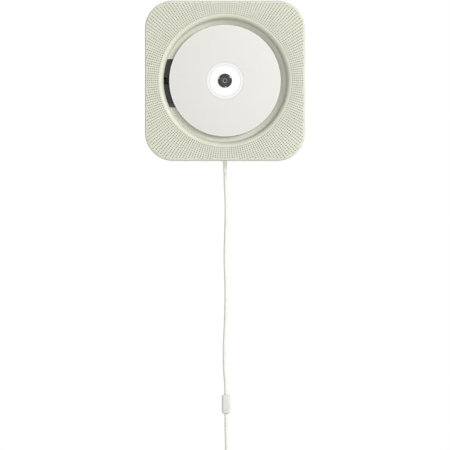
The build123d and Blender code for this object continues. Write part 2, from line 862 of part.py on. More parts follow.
with BuildPart() as turntable:
    with BuildSketch(section_plane()):
        with BuildLine():
            Polyline(
                (shaft_radius, motor_boss_top + slide_gap),
                (motor_boss_radius + 1, motor_boss_top + slide_gap),
                (motor_boss_radius + 1, turntable_back - 0.8),
                (turntable_radius - 2, turntable_back),
                (turntable_radius, turntable_back + 0.4),
                (turntable_radius, turntable_top),
                (shaft_radius, turntable_top),
                close=True,
            )
        make_face()
    revolve(axis=section_axis())
finish(turntable.part, "turntable")

with BuildPart() as turntable_mat:
    with BuildSketch(front_plane(turntable_top)):
        Circle(turntable_radius - 0.3)
        Circle(hub_radius + 1.6, mode=Mode.SUBTRACT)
    extrude(amount=mat_thickness)
finish(turntable_mat.part, "turntable_mat")

ball_angles = [ball_first_angle + 360 / ball_count * index for index in range(ball_count)]
spring_length = ball_centre_radius - ball_radius - ball_travel - ball_gap - spring_start_radius
collar_back = hub_top - collar_seat
with BuildPart() as chuck_hub:
    with BuildSketch(section_plane()):
        with BuildLine():
            Polyline(
                (shaft_radius, turntable_top),
                (hub_radius, turntable_top),
                (hub_radius, hub_top - hub_chamfer),
                (hub_radius - hub_chamfer + 0.3, hub_top - 0.3),
                (hub_radius - hub_chamfer, hub_top - 0.1),
                (collar_radius + running_gap, hub_top - 0.4),
                (collar_radius + running_gap, collar_back),
                (shaft_radius, collar_back),
                close=True,
            )
        make_face()
    revolve(axis=section_axis())
    for angle in ball_angles:
        outward = Vector(cos(radians(angle)), 0, sin(radians(angle)))
        pocket_start = outward * spring_start_radius + Vector(0, -ball_level, 0)
        with BuildSketch(Plane(origin=pocket_start, z_dir=outward)):
            Circle(ball_radius + ball_gap)
        extrude(amount=hub_radius, mode=Mode.SUBTRACT)
finish(chuck_hub.part, "chuck_hub")

with BuildPart() as chuck_springs:
    for angle in ball_angles:
        outward = Vector(cos(radians(angle)), 0, sin(radians(angle)))
        spring_start = outward * spring_start_radius + Vector(0, -ball_level, 0)
        with BuildSketch(Plane(origin=spring_start, z_dir=outward)):
            Circle(spring_radius)
            Circle(spring_radius - spring_wire, mode=Mode.SUBTRACT)
        extrude(amount=spring_length)
finish(chuck_springs.part, "chuck_springs")

for number, angle in enumerate(ball_angles, start=1):
    ball_x = ball_centre_radius * cos(radians(angle))
    ball_z = ball_centre_radius * sin(radians(angle))
    with BuildPart(Plane(origin=(ball_x, -ball_level, ball_z))) as chuck_ball:
        Sphere(ball_radius)
    finish(chuck_ball.part, f"chuck_ball_{number}")

with BuildPart() as centre_collar:
    with BuildSketch(front_plane(collar_back)):
        Circle(collar_radius)
        Circle(shaft_radius, mode=Mode.SUBTRACT)
    extrude(amount=collar_seat + collar_proud)
    chamfer(centre_collar.faces().sort_by(Axis.Y)[0].edges(), 0.3)
finish(centre_collar.part, "centre_collar")

# ---------------------------------------------------------------- disc
with BuildPart() as disc:
    with BuildSketch(section_plane()):
        with BuildLine():
            Polyline(
                (disc_hole_radius, disc_level),
                (disc_radius - 0.2, disc_level),
                (disc_radius, disc_level + 0.2),
                (disc_radius, disc_level + disc_thickness - 0.2),
                (disc_radius - 0.2, disc_level + disc_thickness),
                (stacking_ring_radius + 0.4, disc_level + disc_thickness),
                (stacking_ring_radius + 0.2, disc_level + disc_thickness - 0.2),
                (stacking_ring_radius - 0.2, disc_level + disc_thickness - 0.2),
                (stacking_ring_radius - 0.4, disc_level + disc_thickness),
                (disc_hole_radius, disc_level + disc_thickness),
                close=True,
            )
        make_face()
    revolve(axis=section_axis())
finish(disc.part, "disc")

# ---------------------------------------------------------------- circuit board
with BuildPart() as circuit_board:
    with BuildSketch(front_plane(board_level)):
        Rectangle(board_width, board_height)
        with GridLocations(board_holes_x, board_holes_z, 2, 2):
            Circle(board_screw_radius + running_gap, mode=Mode.SUBTRACT)
    extrude(amount=board_plate)
finish(circuit_board.part, "circuit_board")

# the parts on the board keep their distances from its screw holes
hole_x = board_holes_x / 2
hole_z = board_holes_z / 2
chip_places = [(26 - hole_x, hole_z - 15), (hole_x - 36, hole_z - 15), (hole_x - 16, hole_z - 53)]
driver_places = [(12 - hole_x, hole_z - 12), (hole_x - 14, hole_z - 29)]
capacitor_xs = [20 - hole_x, 32 - hole_x, hole_x - 23, hole_x - 12]
capacitor_z = 2 * capacitor_radius - board_height / 2
with BuildPart() as board_chips:
    with BuildSketch(front_plane(board_top)):
        with Locations(*chip_places):
            Rectangle(chip_size, chip_size)
        with Locations(*driver_places):
            Rectangle(6, 10)
    extrude(amount=chip_height)
finish(board_chips.part, "board_chips")

with BuildPart() as board_capacitors:
    with BuildSketch(front_plane(board_top)):
        with Locations(*[(x, capacitor_z) for x in capacitor_xs]):
            Circle(capacitor_radius)
    extrude(amount=capacitor_height)
    chamfer(board_capacitors.faces().group_by(Axis.Y)[0].edges(), 0.5)
finish(board_capacitors.part, "board_capacitors")

with BuildPart() as board_screws:
    with BuildSketch(front_plane(board_top)):
        with GridLocations(board_holes_x, board_holes_z, 2, 2):
            Circle(board_screw_head_radius)
    extrude(amount=board_screw_head)
    with BuildSketch(front_plane(cover_floor + 2)):
        with GridLocations(board_holes_x, board_holes_z, 2, 2):
            Circle(board_screw_radius)
    extrude(amount=board_top - cover_floor - 2)
    with BuildSketch(front_plane(board_top + board_screw_head / 2)):
        with GridLocations(board_holes_x, board_holes_z, 2, 2):
            Rectangle(board_screw_head_radius, cross_width)
            Rectangle(cross_width, board_screw_head_radius)
    extrude(amount=board_screw_head / 2, mode=Mode.SUBTRACT)
finish(board_screws.part, "board_screws")

# ---------------------------------------------------------------- speakers
cone_top = plate_back - cone_back_gap
cone_foot = cone_top - cone_depth
coil_bore = voice_coil_radius - voice_coil_wall
coil_end = speaker_basket_end - voice_coil_reach
pole_radius = coil_bore - magnet_gap
yoke_radius = voice_coil_radius + magnet_gap
magnet_back = speaker_basket_end - magnet_length
cap_back = cone_foot + 1.5
magnet_radius = cone_radius - magnet_inset
basket_foot_radius = cone_radius - basket_foot_inset
basket_sheet = 1.0
basket_shoulder = cone_radius + 3.0
basket_mouth = basket_shoulder - speaker_flange
surround_radius = cone_radius + running_gap
surround_back = cone_top - 0.4
surround_sheet = 0.4
for side_name, speaker_x in speaker_places.items():
    with BuildPart() as speaker_frame:
        with BuildSketch(section_plane(speaker_x, speaker_z)):
            with BuildLine():
                Polyline(
                    (yoke_radius, speaker_basket_end),
                    (basket_foot_radius, speaker_basket_end),
                    (basket_shoulder, speaker_flange_back - 3.0),
                    (basket_shoulder, speaker_flange_back),
                    (speaker_radius, speaker_flange_back),
                    (speaker_radius, plate_back),
                    (basket_mouth, plate_back),
                    (basket_mouth, speaker_flange_back - 2.2),
                    (basket_foot_radius - basket_sheet, speaker_basket_end + basket_sheet),
                    (yoke_radius, speaker_basket_end + basket_sheet),
                    close=True,
                )
            make_face()
        revolve(axis=section_axis(speaker_x, speaker_z))
    finish(speaker_frame.part, f"speaker_frame_{side_name}")

    with BuildPart() as speaker_magnet:
        with BuildSketch(section_plane(speaker_x, speaker_z)):
            with BuildLine():
                Polyline(
                    (0, magnet_back),
                    (magnet_radius, magnet_back),
                    (magnet_radius, speaker_basket_end),
                    (yoke_radius, speaker_basket_end),
                    (yoke_radius, magnet_back + 2),
                    (pole_radius, magnet_back + 2),
                    (pole_radius, speaker_basket_end + 0.6),
                    (0, speaker_basket_end + 0.6),
                    close=True,
                )
            make_face()
        revolve(axis=section_axis(speaker_x, speaker_z))
    finish(speaker_magnet.part, f"speaker_magnet_{side_name}")

    with BuildPart() as speaker_cone:
        with BuildSketch(section_plane(speaker_x, speaker_z)):
            with BuildLine():
                Line((0, cap_back), (0, cap_back + voice_coil_wall))
                TangentArc(
                    (0, cap_back + voice_coil_wall),
                    (voice_coil_radius, cone_foot + voice_coil_wall),
                    tangent=(1, 0),
                )
                Polyline(
                    (voice_coil_radius, cone_foot + voice_coil_wall),
                    (cone_radius, cone_top),
                    (cone_radius, cone_top - cone_sheet),
                    (voice_coil_radius, cone_foot + voice_coil_wall - cone_sheet),
                    (voice_coil_radius, coil_end),
                    (coil_bore, coil_end),
                    (coil_bore, cone_foot),
                )
                TangentArc((0, cap_back), (coil_bore, cone_foot), tangent=(1, 0))
            make_face()
        revolve(axis=section_axis(speaker_x, speaker_z))
    finish(speaker_cone.part, f"speaker_cone_{side_name}")

    with BuildPart() as speaker_surround:
        with BuildSketch(section_plane(speaker_x, speaker_z)):
            with BuildLine():
                ThreePointArc(
                    (surround_radius, surround_back),
                    (surround_radius + surround_width / 2, surround_back + 2 * surround_sheet),
                    (surround_radius + surround_width, surround_back),
                )
                Line(
                    (surround_radius + surround_width, surround_back),
                    (surround_radius + surround_width - surround_sheet, surround_back),
                )
                ThreePointArc(
                    (surround_radius + surround_width - surround_sheet, surround_back),
                    (surround_radius + surround_width / 2, surround_back + surround_sheet),
                    (surround_radius + surround_sheet, surround_back),
                )
                Line((surround_radius + surround_sheet, surround_back), (surround_radius, surround_back))
            make_face()
        revolve(axis=section_axis(speaker_x, speaker_z))
    finish(speaker_surround.part, f"speaker_surround_{side_name}")

# ---------------------------------------------------------------- keys and display
with BuildPart() as control_board:
    with BuildSketch(Plane.XY.offset(control_board_z)):
        with Locations((0, -key_level)):
            Rectangle(2 * stake_x + 8, 14)
        with Locations((-stake_x, -key_level), (stake_x, -key_level)):
            Circle(stake_pin_radius + running_gap, mode=Mode.SUBTRACT)
    extrude(amount=control_board_plate)
finish(control_board.part, "control_board")

with BuildPart() as tact_switches:
    with BuildSketch(Plane.XY.offset(control_board_z + control_board_plate)):
        with Locations(*[(x, -key_level) for x in key_places.values()]):
            Rectangle(6, 6)
    extrude(amount=tact_body)
    with BuildSketch(Plane.XY.offset(control_board_z + control_board_plate + tact_body)):
        with Locations(*[(x, -key_level) for x in key_places.values()]):
            Circle(1.7)
    extrude(amount=tact_plunger)
finish(tact_switches.part, "tact_switches")

with BuildPart() as display_window:
    with BuildSketch(Plane.XY.offset(top_inside)):
        with Locations((0, -key_level)):
            RectangleRounded(display_length, display_width, 1.5)
    extrude(amount=side_wall - 0.1)
    with BuildSketch(Plane.XY.offset(top_inside - display_ledge)):
        with Locations((0, -key_level)):
            RectangleRounded(display_length + 2 * ledge_width, display_width + 2 * ledge_width, 2)
    extrude(amount=display_ledge)
finish(display_window.part, "display_window")

with BuildPart() as display_module:
    with BuildSketch(Plane.XY.offset(control_board_z + control_board_plate)):
        with Locations((0, -key_level)):
            Rectangle(display_length - 2, display_width - 1)
    extrude(amount=top_inside - display_ledge - seat_gap - control_board_z - control_board_plate)
finish(display_module.part, "display_module")

for key_name, key_x in key_places.items():
    with BuildPart() as key:
        with BuildSketch(Plane.XY.offset(key_foot_z)):
            with Locations((key_x, -key_level)):
                SlotOverall(key_length, key_width)
        extrude(amount=half_height + key_proud - key_foot_z)
        fillet(key.faces().sort_by(Axis.Z)[-1].edges(), 0.4)
        with BuildSketch(Plane.XY.offset(key_foot_z)):
            with Locations((key_x, -key_level)):
                SlotOverall(key_length + 2 * key_flange, key_width + 2 * key_flange)
        extrude(amount=top_inside - seat_gap - key_foot_z)
    finish(key.part, key_name)

# ---------------------------------------------------------------- pull switch
with BuildPart() as pull_slider:
    with BuildSketch(front_plane(slider_back)):
        with Locations((0, (slider_top_z + slider_bottom_z) / 2)):
            Rectangle(slider_width, slider_top_z - slider_bottom_z)
    extrude(amount=slider_front - slider_back)
    fillet(pull_slider.edges().filter_by(Axis.Y), 1)
    with BuildSketch(Plane.XY.offset(slider_bottom_z)):
        with Locations((0, -cord_level)):
            Circle(sleeve_radius + running_gap)
    extrude(amount=sleeve_seat, mode=Mode.SUBTRACT)
    with BuildSketch(Plane.XY.offset(slider_bottom_z)):
        with Locations((0, -cord_level)):
            Circle(cord_radius + running_gap)
    extrude(amount=sleeve_seat + 4, mode=Mode.SUBTRACT)
finish(pull_slider.part, "pull_slider")

switch_width = 6.0
switch_length = 13.0
switch_height = 13.0
switch_x = slider_width / 2 + rail_wall + 2 * slide_gap + seat_gap + switch_width / 2
with BuildPart() as switch_body:
    with BuildSketch(front_plane(cover_floor)):
        with Locations((switch_x, slider_bottom_z + 5.5)):
            Rectangle(switch_width, switch_length)
    extrude(amount=switch_height)
    with BuildSketch(front_plane(cover_floor + switch_height)):
        with Locations((switch_x, slider_bottom_z + 9)):
            Rectangle(switch_width / 2, 4)
    extrude(amount=1.2)
finish(switch_body.part, "switch_body")

grommet_top_z = bottom_inside + grommet_flange
return_spring_radius = 4.6
return_spring_wire = 0.8
with BuildPart() as switch_spring:
    with BuildSketch(Plane.XY.offset(grommet_top_z + running_gap)):
        with Locations((0, -cord_level)):
            Circle(return_spring_radius)
            Circle(return_spring_radius - return_spring_wire, mode=Mode.SUBTRACT)
    extrude(amount=slider_bottom_z - grommet_top_z - 2 * running_gap)
finish(switch_spring.part, "switch_spring")

with BuildPart() as cord_grommet:
    with BuildSketch(Plane.XY.offset(body_bottom)):
        with Locations((0, -cord_level)):
            Circle(grommet_radius)
    extrude(amount=side_wall)
    with BuildSketch(Plane.XY.offset(bottom_inside)):
        with Locations((0, -cord_level)):
            Circle(grommet_radius + 1.4)
    extrude(amount=grommet_flange)
    with BuildSketch(Plane.XY.offset(body_bottom)):
        with Locations((0, -cord_level)):
            Circle(sleeve_radius + slide_gap)
    extrude(amount=side_wall + grommet_flange, mode=Mode.SUBTRACT)
finish(cord_grommet.part, "cord_grommet")

sleeve_length = slider_bottom_z + sleeve_seat - seat_gap - sleeve_end_z
with BuildPart() as cord_sleeve:
    with BuildSketch(Plane.XY.offset(sleeve_end_z)):
        with Locations((0, -cord_level)):
            Circle(sleeve_radius)
    extrude(amount=sleeve_length)
    chamfer(cord_sleeve.faces().sort_by(Axis.Z)[0].edges(), length=2.5, length2=0.6)
    with BuildSketch(Plane.XY.offset(sleeve_end_z)):
        with Locations((0, -cord_level)):
            Circle(cord_radius + running_gap)
    extrude(amount=sleeve_length, mode=Mode.SUBTRACT)
finish(cord_sleeve.part, "cord_sleeve")

# ---------------------------------------------------------------- hanging cord
plug_x = 1.1
cord_upper_route = [
    (0.0, -cord_level, slider_bottom_z + sleeve_seat),
    (0.0, -cord_level, sleeve_end_z - 10),
    (1.5, -cord_level - 0.3, -130.0),
    (1.2, -cord_level + 0.4, -156.0),
    (-0.1, -cord_level + 0.2, -190.0),
    (1.3, -cord_level - 0.4, -221.0),
    (0.9, -cord_level, -254.0),
    (-0.9, -cord_level + 0.3, -290.0),
    (-0.4, -cord_level, -314.0),
    (plug_x, -cord_level, -327.0),
    (plug_x, -cord_level, connector_top),
]
finish(round_tube(cord_upper_route, cord_radius, "cord_upper"), "cord_upper")

socket_bottom_z = connector_top - socket_length
plug_bottom_z = socket_bottom_z - plug_length
connector_corner = 2.2
barrel_radius = 2.75
barrel_bore_radius = 1.05
barrel_length = 9.5
contact_pin_radius = 0.65
plug_neck = 1.6
with BuildPart() as dc_socket:
    with BuildSketch(Plane.XY.offset(socket_bottom_z)):
        with Locations((plug_x, -cord_level)):
            RectangleRounded(connector_width, connector_depth, connector_corner)
    extrude(amount=socket_length)
    fillet(dc_socket.faces().sort_by(Axis.Z)[-1].edges(), 1.2)
    with BuildSketch(Plane.XY.offset(socket_bottom_z)):
        with Locations((plug_x, -cord_level)):
            Circle(barrel_radius + 2 * running_gap)
            Circle(contact_pin_radius, mode=Mode.SUBTRACT)
    extrude(amount=barrel_length + 0.5, mode=Mode.SUBTRACT)
finish(dc_socket.part, "dc_socket")

with BuildPart() as dc_plug:
    with BuildSketch(Plane.XY.offset(plug_bottom_z + plug_neck)):
        with Locations((plug_x, -cord_level)):
            RectangleRounded(connector_width, connector_depth, connector_corner)
    extrude(amount=plug_length - plug_neck - running_gap)
    with BuildSketch(Plane.XY.offset(plug_bottom_z + plug_neck)):
        with Locations((plug_x, -cord_level)):
            RectangleRounded(connector_width, connector_depth, connector_corner)
    with BuildSketch(Plane.XY.offset(plug_bottom_z)):
        with Locations((plug_x, -cord_level)):
            Circle(cord_radius + 0.7)
    loft()
    with BuildSketch(Plane.XY.offset(socket_bottom_z - running_gap)):
        with Locations((plug_x, -cord_level)):
            Circle(barrel_radius)
    extrude(amount=barrel_length)
    with BuildSketch(Plane.XY.offset(socket_bottom_z)):
        with Locations((plug_x, -cord_level)):
            Circle(barrel_bore_radius)
    extrude(amount=barrel_length, mode=Mode.SUBTRACT)
finish(dc_plug.part, "dc_plug")

coil_x = 1.6
coil_start_z = coil_centre_z + 2 * cord_radius
cord_lower_route = [
    (plug_x, -cord_level, plug_bottom_z),
    (plug_x, -cord_level, plug_bottom_z - 11),
    (coil_x + 0.2, -cord_level - 0.2, plug_bottom_z - 32),
    (coil_x, -cord_level, plug_bottom_z - 52),
    (coil_x, -cord_level, coil_start_z),
]
finish(round_tube(cord_lower_route, cord_radius, "cord_lower"), "cord_lower")


# ---------------------------------------------------------------- put-away coil
def coil_stops():
    """Ends of the coil's half turns: x, level, and whether the half turn climbs a layer.

    The turns wind in and out again. A half turn below the axis runs to the right, one above
    it runs back to the left, and the half turn where the spiral reverses climbs a layer.
    """
    stops = [(coil_x, cord_level, False)]
    turn_radius = coil_radius
    step = -coil_pitch / 2
    x, level, going_right = coil_x, cord_level, True
    for layer in range(coil_layers):
        half_turns = coil_half_turns - (1 if layer == coil_layers - 1 else 0)
        for _ in range(half_turns):
            x += 2 * turn_radius * (1 if going_right else -1)
            stops.append((x, level, False))
            going_right = not going_right
            turn_radius += step
        if layer < coil_layers - 1:
            x += 2 * turn_radius * (1 if going_right else -1)
            level += coil_pitch
            stops.append((x, level, True))
            going_right = not going_right
            step = -step
            turn_radius += step
    return stops


coil_path_stops = coil_stops()
with BuildPart() as cord_coil:
    with BuildLine() as coil_path:
        Line((coil_x, -cord_level, coil_start_z), (coil_x, -cord_level, coil_centre_z))
        heading = -1
        for (x0, level0, _), (x1, level1, climbs) in zip(coil_path_stops, coil_path_stops[1:]):
            start = Vector(x0, -level0, coil_centre_z)
            end = Vector(x1, -level1, coil_centre_z)
            if climbs:
                half_span = abs(x1 - x0) / 2
                bulge = sqrt(half_span**2 + (coil_pitch / 2) ** 2)
                middle = (start + end) / 2 + Vector(0, 0, heading * bulge)
                TangentArc(start, middle, tangent=(0, 0, heading))
                TangentArc(end, middle, tangent=(0, 0, heading))
            else:
                TangentArc(start, end, tangent=(0, 0, heading))
            heading = -heading
        tail_x, tail_level = coil_path_stops[-1][0], coil_path_stops[-1][1]
        tail_start_z = coil_centre_z - 2 * cord_radius
        Line((tail_x, -tail_level, coil_centre_z), (tail_x, -tail_level, tail_start_z))
    with BuildSketch(Plane(origin=(coil_x, -cord_level, coil_start_z), z_dir=(0, 0, -1))):
        Circle(cord_radius)
    sweep(path=coil_path.wires()[0])
finish(cord_coil.part, "cord_coil")

coil_length = coil_path.wires()[0].length
coil_share = cord_coil.part.volume / (pi * cord_radius**2 * coil_length)
print("cord_coil length", round(coil_length, 1), "volume share", round(coil_share, 4))
samples = 900
spots = [coil_path.wires()[0] @ (index / samples) for index in range(samples + 1)]
skip = int(4 * cord_radius / (coil_length / samples)) + 1
least = min(
    (spots[i] - spots[j]).length
    for i in range(0, samples + 1, 2)
    for j in range(i + skip, samples + 1, 2)
)
print("cord_coil least gap to itself", round(least - 2 * cord_radius, 2))

with BuildPart() as cord_tail:
    with BuildSketch(Plane.XY.offset(adapter_top_z + adapter_relief)):
        with Locations((tail_x, -tail_level)):
            Circle(cord_radius)
    extrude(amount=tail_start_z - adapter_top_z - adapter_relief)
finish(cord_tail.part, "cord_tail")

tie_gap = 0.8
tie_strap = 1.2
tie_width = 8.0
stop_xs = [stop[0] for stop in coil_path_stops]
right_turns = [x for x in stop_xs if x > coil_x + coil_radius]
tie_left = min(right_turns) - cord_radius - tie_gap
tie_right = max(right_turns) + cord_radius + tie_gap
tie_back = cord_level - cord_radius - tie_gap
tie_front = cord_level + (coil_layers - 1) * coil_pitch + cord_radius + tie_gap
with BuildPart() as cord_tie:
    with BuildSketch(Plane.XY.offset(coil_centre_z - tie_width / 2)):
        with Locations(((tie_left + tie_right) / 2, -(tie_back + tie_front) / 2)):
            RectangleRounded(
                tie_right - tie_left + 2 * tie_strap, tie_front - tie_back + 2 * tie_strap, 3
            )
            RectangleRounded(
                tie_right - tie_left, tie_front - tie_back, 2, mode=Mode.SUBTRACT
            )
    extrude(amount=tie_width)
finish(cord_tie.part, "cord_tie")

# ---------------------------------------------------------------- mains adapter
adapter_foot_z = adapter_top_z - adapter_height
blade_places = [(tail_x + side * blade_spacing / 2, -tail_level) for side in (-1, 1)]
with BuildPart() as ac_adapter:
    with BuildSketch(Plane.XY.offset(adapter_foot_z)):
        with Locations((tail_x, -tail_level)):
            RectangleRounded(adapter_width, adapter_depth, 5)
    extrude(amount=adapter_height)
    fillet(ac_adapter.faces().sort_by(Axis.Z)[0].edges(), 1.5)
    fillet(ac_adapter.faces().sort_by(Axis.Z)[-1].edges(), 2.5)
    with BuildSketch(Plane.XY.offset(adapter_top_z)):
        with Locations((tail_x, -tail_level)):
            Circle(cord_radius + 1.6)
    with BuildSketch(Plane.XY.offset(adapter_top_z + adapter_relief)):
        with Locations((tail_x, -tail_level)):
            Circle(cord_radius + 0.5)
    loft()
    with BuildSketch(Plane.XY.offset(adapter_foot_z)):
        with Locations(*blade_places):
            Rectangle(blade_sheet, blade_width)
    extrude(amount=blade_seat, mode=Mode.SUBTRACT)
finish(ac_adapter.part, "ac_adapter")

with BuildPart() as adapter_blades:
    with BuildSketch(Plane.XY.offset(adapter_foot_z - blade_length)):
        with Locations(*blade_places):
            Rectangle(blade_sheet, blade_width)
    extrude(amount=blade_length + blade_seat)
    chamfer(adapter_blades.faces().group_by(Axis.Z)[0].edges().filter_by(Axis.Y), 0.4)
finish(adapter_blades.part, "adapter_blades")
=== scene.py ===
import json
import math

import bmesh
import bpy
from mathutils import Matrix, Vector


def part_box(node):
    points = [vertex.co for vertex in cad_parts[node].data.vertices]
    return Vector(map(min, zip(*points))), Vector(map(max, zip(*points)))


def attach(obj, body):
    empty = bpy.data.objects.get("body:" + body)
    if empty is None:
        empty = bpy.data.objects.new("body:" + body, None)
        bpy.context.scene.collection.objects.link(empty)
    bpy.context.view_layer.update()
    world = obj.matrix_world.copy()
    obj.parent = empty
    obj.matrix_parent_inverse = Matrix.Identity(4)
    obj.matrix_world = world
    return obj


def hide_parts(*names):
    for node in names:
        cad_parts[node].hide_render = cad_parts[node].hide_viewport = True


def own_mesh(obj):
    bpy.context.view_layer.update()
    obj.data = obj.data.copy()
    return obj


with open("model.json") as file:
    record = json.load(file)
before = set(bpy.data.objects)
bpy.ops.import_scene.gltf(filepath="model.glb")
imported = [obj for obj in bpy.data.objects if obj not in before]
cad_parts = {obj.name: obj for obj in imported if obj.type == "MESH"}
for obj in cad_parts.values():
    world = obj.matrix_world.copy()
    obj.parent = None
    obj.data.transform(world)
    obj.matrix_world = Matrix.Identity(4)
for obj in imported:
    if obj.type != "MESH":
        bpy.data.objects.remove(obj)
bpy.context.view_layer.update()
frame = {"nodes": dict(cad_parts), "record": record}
nodes = frame["nodes"]
slotOf = {row["node"]: row["material_slot"] for row in frame["record"]["subparts"]}
bodyOf = {name: body for body, names in frame["record"]["behaviour"]["bodies"].items() for name in names}

mm = 0.001


def linear(hexColour, alpha=1.0):  # sRGB hex to the linear values that shaders take
    values = [int(hexColour[i:i + 2], 16) / 255 for i in (0, 2, 4)]
    return tuple(v / 12.92 if v <= 0.04045 else ((v + 0.055) / 1.055) ** 2.4 for v in values) + (alpha,)


def addNode(tree, kind, settings=None, inputs=None):  # a node with its settings, input values and links
    node = tree.nodes.new(kind)
    for key, value in (settings or {}).items():
        if key == "stops":  # positions and hex colours along a ramp
            elements = node.color_ramp.elements
            while len(elements) < len(value):
                elements.new(0.5)
            for element, (position, colour) in zip(elements, value):
                element.position, element.color = position, linear(colour)
        elif isinstance(key, int) or not hasattr(node, key):
            node.inputs[key].default_value = value
        else:
            setattr(node, key, value)
    for key, value in (inputs or {}).items():
        if isinstance(value, bpy.types.Node):
            value = value.outputs[0]  # the first socket
        if isinstance(value, bpy.types.NodeSocket):
            tree.links.new(value, node.inputs[key])
        else:
            node.inputs[key].default_value = value
    return node


# ---- camera, light and stage
photo = {  # the photograph's size and the row of the disc's axis in pixels, and a pixel's size in mm
    "size": 450,
    "axisRow": 80.6,
    "pixel": 1.075,
}
camera = {
    "distance": 5.0,
    "frameSize": photo["size"] * photo["pixel"] * mm,
    "centreRow": 225.0,
    "frontLevel": 38 * mm,
    "sensor": 36.0,
    "nearest": 0.05,
    "farthest": 50.0,
}
light = {
    # soft light from behind the player, past its sides, to straight in front of it
    "around": [(0.0, "d6d6d6"), (0.25, "c4c4c4"), (0.45, "8c8c8c"), (0.53, "5a5a5a"),
               (0.65, "7c7c7c"), (0.8, "a6a6a6"), (0.9, "d2d2d2"), (1.0, "ffffff")],
    "aroundStrength": 1.6,
    "keySize": 1.7,
    "keyPower": 130.0,
    "keyPlace": (2.9, -2.3, 1.45),
    "floorLevel": -0.75,
    "floorHalf": 2.2,
    "floorColour": "f0f0ee",
    "floorRoughness": 0.9,
}


def makeStage():
    data = bpy.data.cameras.new("photoCamera")
    data.sensor_width = camera["sensor"]
    data.lens = camera["sensor"] * camera["distance"] / camera["frameSize"]
    data.clip_start, data.clip_end = camera["nearest"], camera["farthest"]
    eye = bpy.data.objects.new("photoCamera", data)
    height = (photo["axisRow"] - camera["centreRow"]) * photo["pixel"]
    eye.location = (0, -camera["distance"] - camera["frontLevel"], height * mm)
    eye.rotation_euler = (math.radians(90), 0, 0)
    bpy.context.scene.collection.objects.link(eye)
    bpy.context.scene.camera = eye
    bpy.context.scene.view_settings.view_transform = "Standard"

    world = bpy.data.worlds.new("studio")
    world.use_nodes = True
    tree = world.node_tree
    around = addNode(tree, "ShaderNodeTexCoord")
    parts = addNode(tree, "ShaderNodeSeparateXYZ", {}, {"Vector": around.outputs["Generated"]})
    share = addNode(tree, "ShaderNodeMapRange", {"From Min": 1.0, "From Max": -1.0},
                    {"Value": parts.outputs["Y"]})
    ramp = addNode(tree, "ShaderNodeValToRGB", {"stops": light["around"]}, {"Fac": share})
    soft = addNode(tree, "ShaderNodeBackground", {"Strength": light["aroundStrength"]}, {"Color": ramp})
    plain = addNode(tree, "ShaderNodeBackground", {"Color": (1, 1, 1, 1), "Strength": 1.0})
    seen = addNode(tree, "ShaderNodeLightPath").outputs["Is Camera Ray"]
    mixed = addNode(tree, "ShaderNodeMixShader", {}, {0: seen, 1: soft, 2: plain})
    tree.links.new(mixed.outputs[0], tree.nodes["World Output"].inputs["Surface"])
    bpy.context.scene.world = world

    key = bpy.data.lights.new("keyLight", "AREA")
    key.size = light["keySize"]
    key.energy = light["keyPower"]
    lamp = bpy.data.objects.new("keyLight", key)
    lamp.location = light["keyPlace"]
    lamp.rotation_euler = (-Vector(light["keyPlace"])).to_track_quat("-Z", "Y").to_euler()
    bpy.context.scene.collection.objects.link(lamp)

    mesh = bpy.data.meshes.new("floor")
    half, level = light["floorHalf"], light["floorLevel"]
    mesh.from_pydata([(-half, -half, level), (half, -half, level), (half, half, level), (-half, half, level)],
                     [], [(0, 1, 2, 3)])
    floor = bpy.data.objects.new("floor", mesh)
    bpy.context.scene.collection.objects.link(floor)
    paper = bpy.data.materials.new("whitePaper")
    paper.use_nodes = True
    paperShader = paper.node_tree.nodes["Principled BSDF"]
    paperShader.inputs["Base Color"].default_value = linear(light["floorColour"])
    paperShader.inputs["Roughness"].default_value = light["floorRoughness"]
    mesh.materials.append(paper)


makeStage()
print("stage: camera, key light and floor are in place")


# ---- materials
def newMaterial(name):
    material = bpy.data.materials.new(name)
    material.use_nodes = True
    tree = material.node_tree
    place = addNode(tree, "ShaderNodeTexCoord")
    millimetres = addNode(tree, "ShaderNodeMapping", {"Scale": (1 / mm, 1 / mm, 1 / mm)},
                          {"Vector": place.outputs["Object"]})
    return material, tree, tree.nodes["Principled BSDF"], millimetres


def dressSurface(tree, colour=None, roughness=None, height=None):
    # colour is a value and its ramp, roughness a value and its two ends, height a value and its depth in mm
    shader = tree.nodes["Principled BSDF"]
    if colour:
        ramp = addNode(tree, "ShaderNodeValToRGB", {"stops": colour[1]}, {"Fac": colour[0]})
        tree.links.new(ramp.outputs["Color"], shader.inputs["Base Color"])
    if roughness:
        spread = addNode(tree, "ShaderNodeMapRange", {
            "From Min": 0.3, "From Max": 0.7, "To Min": roughness[1], "To Max": roughness[2],
        }, {"Value": roughness[0]})
        tree.links.new(spread.outputs[0], shader.inputs["Roughness"])
    if height:
        bump = addNode(tree, "ShaderNodeBump", {"Distance": height[1] * mm}, {"Height": height[0]})
        tree.links.new(bump.outputs["Normal"], shader.inputs["Normal"])


def mouldedPlastic(name, low, high, roughness=0.5, grain=0.5, depth=0.012, ior=1.54, patch=18, sheen=0.0):
    material, tree, shader, where = newMaterial(name)  # patches of tone, uneven gloss and a fine grain
    patches, wear, texture = (
        addNode(tree, "ShaderNodeTexNoise", {"Scale": 1 / size, "Detail": detail}, {"Vector": where})
        for size, detail in ((patch, 3.0), (patch / 3, 2.0), (grain, 2.0)))
    dressSurface(tree, (patches, [(0.35, low), (0.65, high)]), (wear, roughness - 0.04, roughness + 0.05),
                 (texture, depth))
    shader.inputs["IOR"].default_value = ior
    shader.inputs["Sheen Weight"].default_value = sheen
    return material


